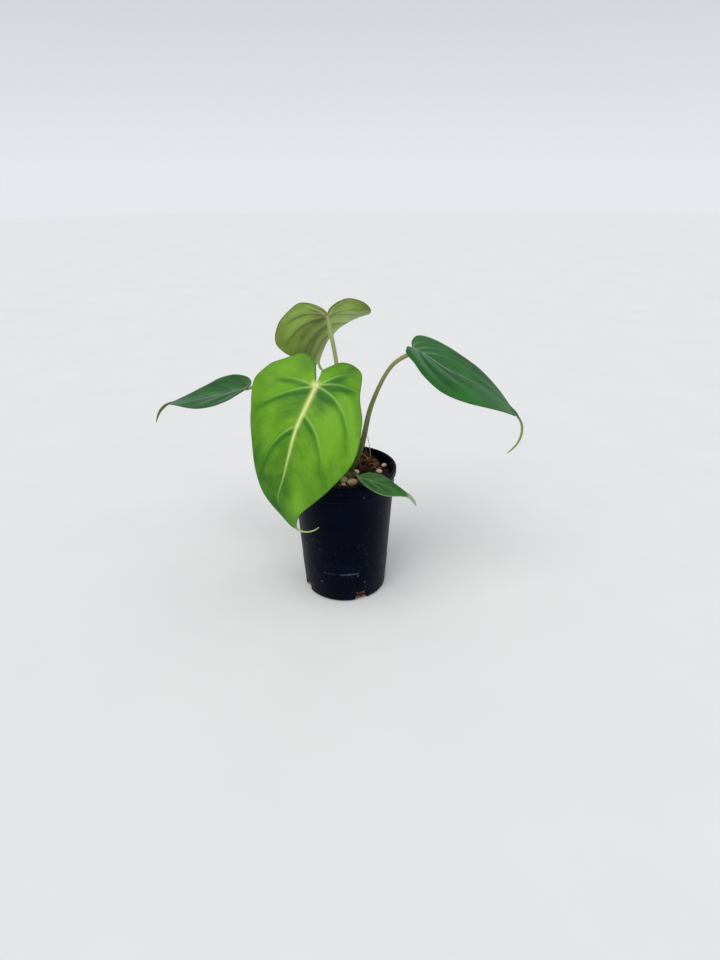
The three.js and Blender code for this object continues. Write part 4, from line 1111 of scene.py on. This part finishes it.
def behind_notches(count):
    """Random places on the side of the mix, over the width and height of a notch picked for each."""
    height = LOWEST + (NOTCH["height"] - OFF_HEIGHT) * random.random(count)
    radius = wall_radius(height) - WALL - BEHIND_WALL
    turn = np.radians(notch_azimuth(random.integers(0, NOTCH["count"], count)))
    angle = turn + (NOTCH["width"] - OFF_WIDTH) * (random.random(count) - 0.5) / radius
    return np.stack([radius * np.cos(angle), radius * np.sin(angle), height], -1)


washed = 0.6 + 1.1 * random.random(WASHED) ** 2
washed_sizes = np.stack([washed, washed * (0.5 + 0.4 * random.random(WASHED)), 0.35 + 0.4 * washed], -1)
washed_angles = np.stack([2 * np.pi * random.random(WASHED), 3 * random.random(WASHED)], -1)
washed_places = behind_notches(WASHED)
washed_chips = scatter("washed_chips", washed_places, washed_sizes, washed_angles, 0.4, random.random(WASHED),
                       blocky=0.35)

# %% [markdown]
# ## Leaf material: living leaf with a thin wax cuticle
#
# A leaf is green through chlorophyll cells under a clear waxy skin. The skin gives a soft satin gloss with
# an index of refraction near 1.45, and the tissue under it lets some light through, so thin parts glow
# yellow-green. Veins hold less green and look pale. The marks on the mesh say where veins, midrib, edge
# and tip are, and noise in real sizes breaks up the rest: patches of about 14 mm and cells of 1 mm. The
# finest veins run beside the large ones, so they are streaks of noise on two marks that hold each point's
# row and its place along the row. Real ones are half as wide, which would be too fine to show.

# %% Leaf cuticle
# Cells of noise for each metre, and for the fine veins, along and across the rows of the whole blade.
PATCH_NOISE, CELL_NOISE = 70.0, 900.0
FINE_VEINS = (80.0, 3.0, 1.0)
# The tone at which a face is all deep green, and the one at which it is all lit green.
DEEP_TONE, LIT_TONE = 0.3, 1.4


def leaf_cuticle(name, upper_face, lower_face, edge, tip, gloss, sheer, band_and_sheen_share=0.3, vein_share=0.9):
    """Blade tissue in layers. Each face goes from deep to lit green by tone, then takes its pale band beside
    the veins, partly painted sheen, then its edge, its veins, its midrib and its tip. sheer is how much light
    passes in."""
    material, shader = new_material(name)
    mark = {key: add(material, "Attribute", out=2, attribute_name=key) for key in MARKS}
    place = add(material, "TexCoord", out=3)
    fan = add(material, "CombineXYZ", {0: mark["fan"], 1: mark["across"]})
    fan = add(material, "Mapping", {"Vector": fan, "Scale": FINE_VEINS})
    patch, cells, streaks = (
        add(material, "TexNoise", {"Vector": vector, "Scale": scale, "Detail": detail, "Roughness": rough})
        for vector, scale, detail, rough in (
            (place, PATCH_NOISE, 3.0, 0.55), (place, CELL_NOISE, 2.0, 0.6), (fan, 1.0, 2.0, 0.5),
        )
    )
    shade = mark["tone"]
    for noise, amount in ((patch, 0.9), (streaks, 0.5), (cells, 0.3)):
        shade = add(material, "Math", {0: noise, 1: amount, 2: shade}, operation="MULTIPLY_ADD")
    level = add(material, "MapRange", {0: shade, 1: DEEP_TONE, 2: LIT_TONE})
    # The pale band beside the veins, partly painted sheen, is mixed over the tone.
    band_and_sheen = add(material, "Math", {0: mark["band_and_sheen"], 1: band_and_sheen_share}, operation="MULTIPLY")
    rim = add(material, "MapRange", {0: mark["rim"], 1: 0.3, 2: 1.0, 3: 0.8, 4: 0.0})
    vein = add(material, "Math", {0: mark["vein"], 1: vein_share}, operation="MULTIPLY")
    tip_share = add(material, "MapRange", {0: mark["along"], 1: 1.01, 2: 1.07})
    faces = []
    for deep, lit, soft, rib, keel in (upper_face, lower_face):
        colour = add(material, "Mix", {0: level, 6: deep, 7: lit}, out=2, data_type="RGBA")
        layers = ((band_and_sheen, soft), (rim, edge), (vein, rib), (mark["midrib"], keel), (tip_share, tip))
        for share, over in layers:
            colour = add(material, "Mix", {0: share, 6: colour, 7: over}, out=2, data_type="RGBA")
        faces.append(colour)
    colour = add(material, "Mix", {0: mark["under"], 6: faces[0], 7: faces[1]}, out=2, data_type="RGBA")
    rough = add(material, "MapRange", {0: patch, 1: 0.3, 2: 0.7, 3: gloss - 0.05, 4: gloss + 0.08})
    bump = add(material, "Bump", {"Height": cells, "Distance": 0.00006, "Strength": 0.35})
    add(material, shader, {
        "Base Color": colour, "Roughness": rough, "Normal": bump, "IOR": 1.45, "Specular IOR Level": 0.2,
        "Subsurface Weight": sheer, "Subsurface Scale": 0.0012, "Subsurface Radius": (0.45, 1.0, 0.12),
    })
    return material


# Each face: deep green, lit green, the pale band beside the veins that is partly painted sheen, side vein and
# midrib.
PALE_FACE = ("#4c6c3a", "#6f8c50", "#85a068", "#93ab78", "#a3b884")
LEAF_LOOKS = {
    "front": dict(
        name="lime_leaf_cuticle", edge="#326820", tip="#c3d684", gloss=0.42, sheer=0.14,
        upper_face=("#28640a", "#72a824", "#569628", "#9cc458", "#e4ea98"),
        lower_face=("#5c8434", "#90ab54", "#a5bb74", "#b5c684", "#c5d494"),
    ),
    "back": dict(
        name="olive_leaf_cuticle", edge="#4c5f30", tip="#93a858", gloss=0.5, sheer=0.2, band_and_sheen_share=0.25,
        upper_face=("#2f6a1e", "#5f9030", "#5c8c3c", "#8fb060", "#b5c67c"),
        lower_face=("#647222", "#a8c860", "#a8c270", "#b8cc88", "#b6c07e"),
    ),
    "right": dict(
        name="deep_green_leaf_cuticle", edge="#2c5430", tip="#8c9c4c", gloss=0.38, sheer=0.1,
        band_and_sheen_share=0.2, vein_share=0.55, lower_face=PALE_FACE,
        upper_face=("#0f4712", "#2c7226", "#3f7a44", "#78a47c", "#7fa684"),
    ),
    "left": dict(
        name="aged_green_leaf_cuticle", edge="#2c5430", tip="#5f5f2a", gloss=0.36, sheer=0.1,
        band_and_sheen_share=0.25, vein_share=0.4, lower_face=PALE_FACE,
        upper_face=("#0c4210", "#267020", "#376f3c", "#6c9a70", "#729a78"),
    ),
    "young": dict(
        name="young_leaf_cuticle", edge="#7f9f6c", tip="#93a880", gloss=0.42, sheer=0.12,
        upper_face=("#1e5020", "#4c8240", "#527e4a", "#6a985e", "#76a06a"),
        lower_face=("#5c7c4c", "#7c9a6a", "#93ab7c", "#9db588", "#a9bc90"),
    ),
}
for leaf, look in LEAF_LOOKS.items():
    dress(blades[leaf], leaf_cuticle(**look))
print("leaf looks:", ", ".join(look["name"] for look in LEAF_LOOKS.values()))

# %% [markdown]
# ## Petiole and stem material: green bark skin
#
# The stalks have a satin skin over green flesh, with fine pale and brown streaks that run lengthwise. The
# streaks are noise on a cylinder of marks: two marks hold the direction round the stalk and one the
# distance along it, so there is no seam. Near the blade the skin turns pale green, and at its foot deeper.


# %% Petiole skin
STREAK_NOISE = 3.2
BARK_NOISE = 260.0


def petiole_skin(name, foot, middle, top):
    """A ramp of three colours from foot to top, with pale and dark streaks mixed over it."""
    material, shader = new_material(name)
    ring_x, ring_y, reach, along = (
        add(material, "Attribute", out=2, attribute_name=key)
        for key in ("ring_x", "ring_y", "reach", "along")
    )
    around = add(material, "CombineXYZ", {0: ring_x, 1: ring_y, 2: reach})
    noise = {"Vector": around, "Scale": STREAK_NOISE, "Detail": 4.0, "Roughness": 0.6}
    streaks = add(material, "TexNoise", noise)
    colour = add(material, "ValToRGB", {0: along}, stops=[(0.0, foot), (0.5, middle), (1.0, top)])
    light = add(material, "MapRange", {0: streaks, 1: 0.45, 2: 0.7, 4: 0.35})
    dark = add(material, "MapRange", {0: streaks, 1: 0.5, 2: 0.3, 4: 0.5})
    for share, over in ((light, "#b5bc7c"), (dark, "#4c4a1f")):
        colour = add(material, "Mix", {0: share, 6: colour, 7: over}, out=2, data_type="RGBA")
    bump = add(material, "Bump", {"Height": streaks, "Distance": 0.0002, "Strength": 0.4})
    add(material, shader, {
        "Base Color": colour, "Roughness": 0.45, "Normal": bump, "IOR": 1.45,
        "Subsurface Weight": 0.1, "Subsurface Scale": 0.001, "Subsurface Radius": (0.5, 1.0, 0.2),
    })
    return material


skin = petiole_skin("olive_petiole_skin", "#2c4814", "#666830", "#97925c")
pale_skin = petiole_skin("pale_petiole_skin", "#4c6428", "#8a8f5a", "#a9b474")
for name, stalk in stalks.items():
    dress(stalk, pale_skin if name == "back" else skin)


def stem_bark():
    """Green-brown bark of the creeping stem, in flecks of about 4 mm, paler at its ring scars."""
    material, shader = new_material("creeping_stem_bark")
    place = add(material, "TexCoord", out=3)
    noise = {"Vector": place, "Scale": BARK_NOISE, "Detail": 5.0, "Roughness": 0.65}
    grain = add(material, "TexNoise", noise)
    stops = [(0.3, "#33331a"), (0.52, "#55602c"), (0.75, "#7a7444")]
    colour = add(material, "ValToRGB", {0: grain}, stops=stops)
    scar = add(material, "Attribute", out=2, attribute_name="scar")
    colour = add(material, "Mix", {0: scar, 6: colour, 7: "#8a7a52"}, out=2, data_type="RGBA")
    bump = add(material, "Bump", {"Height": grain, "Distance": 0.0005, "Strength": 0.6})
    add(material, shader, {"Base Color": colour, "Roughness": 0.7, "Normal": bump, "IOR": 1.45})
    return material


dress(stem, stem_bark())

# %% [markdown]
# ## Pot material: black polypropylene
#
# Nursery pots are moulded in polypropylene with carbon black, often with a blue cast, and come out with a
# satin skin, index 1.49. Handling leaves dust specks and pale scuffs, and a faint pale line runs in broken
# stretches along the step near the foot. Specks are cells of a 7 mm pattern that keep only their centres, and
# the scuffs are thin slivers of stretched noise, which fade out above the lower half of the pot.

# %% Pot plastic
# Cells for each metre: haze of 24 mm, skin grain of 0.7 mm, specks 7 mm apart and scuffs 4 mm wide and 1 mm
# high. The grain of the real skin is finer, and is drawn as coarse as this to show.
HAZE_NOISE, SKIN_NOISE, SPECK_CELLS = 42.0, 1400.0, 150.0
SCUFF_STRETCH, SCUFF_TURN = (260.0, 260.0, 900.0), (0.3, 0.5, 0.2)
PALE_STEP_LINE = 0.0009
SCUFFS_FADE = (0.075, 0.05)


def pot_plastic():
    """A dark ramp over the haze, with one pale colour mixed in where specks, scuffs or the pale line along
    the step are.
    """
    material, shader = new_material("black_polypropylene")
    place = add(material, "TexCoord", out=3)
    height = add(material, "SeparateXYZ", {0: place}, out=2)
    haze = add(material, "TexNoise", {"Vector": place, "Scale": HAZE_NOISE, "Detail": 4.0, "Roughness": 0.6})
    grain = add(material, "TexNoise", {"Vector": place, "Scale": SKIN_NOISE, "Detail": 2.0})
    stops = [(0.3, "#02030a"), (0.55, "#040714"), (0.8, "#080d20")]
    colour = add(material, "ValToRGB", {0: haze}, stops=stops)
    speck = {"Vector": place, "Scale": SPECK_CELLS, "Randomness": 1.0}
    speck = add(material, "TexVoronoi", speck, feature="F1")
    speck = add(material, "MapRange", {0: speck, 1: 0.1, 2: 0.05})
    some = add(material, "MapRange", {0: haze, 1: 0.46, 2: 0.56, 4: 0.9})
    speck = add(material, "Math", {0: speck, 1: some}, operation="MULTIPLY")
    scuff = add(material, "Mapping", {"Vector": place, "Scale": SCUFF_STRETCH, "Rotation": SCUFF_TURN})
    scuff = add(material, "TexNoise", {"Vector": scuff, "Scale": 1.0, "Detail": 3.0, "Roughness": 0.7})
    scuff = add(material, "MapRange", {0: scuff, 1: 0.66, 2: 0.73, 4: 0.4})
    low = add(material, "MapRange", {0: height, 1: SCUFFS_FADE[0], 2: SCUFFS_FADE[1], 3: 0.1, 4: 1.0})
    scuff = add(material, "Math", {0: scuff, 1: low}, operation="MULTIPLY")
    # A faint pale line along the step near the foot, in broken stretches where the haze is high.
    line = add(material, "Math", {0: height, 1: RING_Z * MM, 2: PALE_STEP_LINE}, operation="COMPARE")
    stretches = add(material, "MapRange", {0: haze, 1: 0.5, 2: 0.64, 4: 0.2})
    line = add(material, "Math", {0: line, 1: stretches}, operation="MULTIPLY")
    pale_marks = add(material, "Math", {0: scuff, 1: line}, operation="MAXIMUM")
    pale_marks = add(material, "Math", {0: pale_marks, 1: speck}, operation="MAXIMUM")
    colour = add(material, "Mix", {0: pale_marks, 6: colour, 7: "#8f98a8"}, out=2, data_type="RGBA")
    rough = add(material, "MapRange", {0: haze, 1: 0.3, 2: 0.7, 3: 0.34, 4: 0.46})
    bump = add(material, "Bump", {"Height": grain, "Distance": 0.00004, "Strength": 0.3})
    add(material, shader, {
        "Base Color": colour, "Roughness": rough, "Normal": bump, "IOR": 1.49, "Specular IOR Level": 0.07,
        "Specular Tint": "#8c9ee8",
    })
    return material


dress(pot, pot_plastic())

# %% [markdown]
# ## Mix materials: bark, loam, stone and fern fibre
#
# Bark chips are dull and ragged, from near black to reddish brown, and each keeps one tone of its own.
# Pebbles are water-worn and paler. The fibres are the dried black-brown roots of tree fern, and the thin
# standing ones are pale where they have dried out.


# %% Mix
# Colours from dark to pale.
BARK = [(0.0, "#080403"), (0.5, "#170c08"), (0.85, "#3c2014"), (1.0, "#8c6648")]
CRUMB = [(0.0, "#080403"), (0.7, "#1c0f0a"), (0.94, "#4c3020"), (1.0, "#d0b698")]
PEBBLE = [(0.0, "#80795a"), (0.3, "#c0b48c"), (0.7, "#fccaa8"), (1.0, "#ffeedd")]
FERN = [(0.0, "#1c0a05"), (0.4, "#5a2411"), (0.75, "#9c5430"), (1.0, "#d8a87c")]
WASHED_BARK = [(0.0, "#1a0a06"), (0.45, "#4a2114"), (0.8, "#8c4c2c"), (1.0, "#c08a60")]
DRY_ROOT = [(0.0, "#4c2c18"), (0.6, "#8a6648"), (1.0, "#b39a80")]
# Each: its piece, its colours, the cells of its grain for each metre, its roughness and the depth of its
# bumps in metres. Grains are 2 to 3 mm, a few to each body.
RAGGED = {
    "pine_bark_chip": (chips, BARK, 500.0, 0.85, 0.0005),
    "loam_crumb": (crumbs, CRUMB, 600.0, 0.9, 0.0003),
    "water_worn_pebble": (stones, PEBBLE, 330.0, 0.6, 0.0003),
    "tree_fern_fibre": (fibres, FERN, 300.0, 0.75, 0.0001),
    "washed_bark_chip": (washed_chips, WASHED_BARK, 500.0, 0.8, 0.0004),
    "dry_root_fibre": (standing, DRY_ROOT, 300.0, 0.7, 0.0001),
}
LOAM_NOISE = 420.0


def ragged(name, stops, scale, rough, depth):
    """A rough natural body: its own tone picks a colour on the ramp, and noise breaks it up."""
    material, shader = new_material(name)
    place = add(material, "TexCoord", out=3)
    grain = add(material, "TexNoise", {"Vector": place, "Scale": scale, "Detail": 5.0, "Roughness": 0.7})
    pick = add(material, "Math", {0: grain, 1: 0.5}, operation="SUBTRACT")
    tone = add(material, "Attribute", out=2, attribute_name="tone")
    pick = add(material, "Math", {0: pick, 1: 0.8, 2: tone}, operation="MULTIPLY_ADD", use_clamp=True)
    colour = add(material, "ValToRGB", {0: pick}, stops=stops)
    bump = add(material, "Bump", {"Height": grain, "Distance": depth, "Strength": 0.7})
    add(material, shader, {"Base Color": colour, "Roughness": rough, "Normal": bump, "IOR": 1.45})
    return material


def loam():
    """Damp loam and bark dust of the bed: one noise gives both its colour and its deep bumps."""
    material, shader = new_material("damp_loam_and_bark_dust")
    place = add(material, "TexCoord", out=3)
    grain = add(material, "TexNoise", {"Vector": place, "Scale": LOAM_NOISE, "Detail": 6.0, "Roughness": 0.7})
    stops = [(0.4, "#050302"), (0.55, "#0f0805"), (0.68, "#21120b"), (0.82, "#442a18")]
    colour = add(material, "ValToRGB", {0: grain}, stops=stops)
    bump = add(material, "Bump", {"Height": grain, "Distance": 0.0012, "Strength": 0.9})
    add(material, shader, {"Base Color": colour, "Roughness": 0.9, "Normal": bump, "IOR": 1.45})
    return material


dress(bed, loam())
for name, (made, *look) in RAGGED.items():
    dress(made, ragged(name, *look))
print("materials:", ", ".join(material.name for material in bpy.data.materials if material.users))

# %% [markdown]
# ## Floor and light
#
# The plant stands on a plain pale floor in soft studio light. Lamps near it would leave the far floor dark,
# so two suns light it evenly: a key from the upper left in front and a weak one from the right, both so
# wide that their shadows nearly vanish. A pale sky, brightest near the horizon, fills the rest. The floor
# is a disc so wide that its edge lies at the horizon from any side.


# %% Floor
FLOOR_RINGS, FLOOR_SIDES = (0, 400, 1500, 6000), 96
PAPER_NOISE = 9.0


def studio_floor():
    """A disc made of rings that get further apart, with its faces up and a faint mottle 11 cm wide."""
    material, shader = new_material("matt_studio_paper")
    place = add(material, "TexCoord", out=3)
    tooth = add(material, "TexNoise", {"Vector": place, "Scale": PAPER_NOISE, "Detail": 3.0})
    colour = add(material, "ValToRGB", {0: tooth}, stops=[(0.3, "#eeeeed"), (0.7, "#f1f1f0")])
    add(material, shader, {"Base Color": colour, "Roughness": 0.9})
    points, faces = turned(np.array([(radius, 0) for radius in FLOOR_RINGS], float), FLOOR_SIDES)
    mesh, _ = closed_mesh("studio_floor", points, faces, merge=1e-3)
    if mesh.polygons[0].normal.z < 0:
        mesh.flip_normals()
    floor = placed("studio_floor", mesh)
    dress(floor, material)


studio_floor()

# %% Light
# Each sun: where it shines from, its strength and the angle that it fills, which softens its shadow. The
# sky's strength falls from the horizon to the height where it is darkest.
SUNS = {
    "key_sun": ((-0.45, -0.75, 1.3), 1.5, 50),
    "fill_sun": ((0.9, -0.25, 0.8), 0.5, 80),
}
SKY_COLOUR, SKY_HORIZON, SKY_TOP, SKY_TOP_HEIGHT = "#eef1f6", 0.92, 0.42, 0.6
for name, (way, strength, angle) in SUNS.items():
    lamp = bpy.data.lights.new(name, "SUN")
    lamp.energy, lamp.angle = strength, math.radians(angle)
    holder = placed(name, lamp)
    holder.rotation_mode = "QUATERNION"
    holder.rotation_quaternion = (-Vector(way)).to_track_quat("-Z", "Y")

sky = bpy.data.worlds.new("pale_sky")
bpy.context.scene.world = sky
sky.use_nodes = True
height = add(sky, "SeparateXYZ", {0: add(sky, "TexCoord", out=0)}, out=2)
strength = add(sky, "MapRange", {0: height, 1: 0.0, 2: SKY_TOP_HEIGHT, 3: SKY_HORIZON, 4: SKY_TOP})
add(sky, sky.node_tree.nodes["Background"], {0: SKY_COLOUR, 1: strength})
bpy.context.scene.view_settings.view_transform = "Standard"
print("suns:", ", ".join(SUNS))
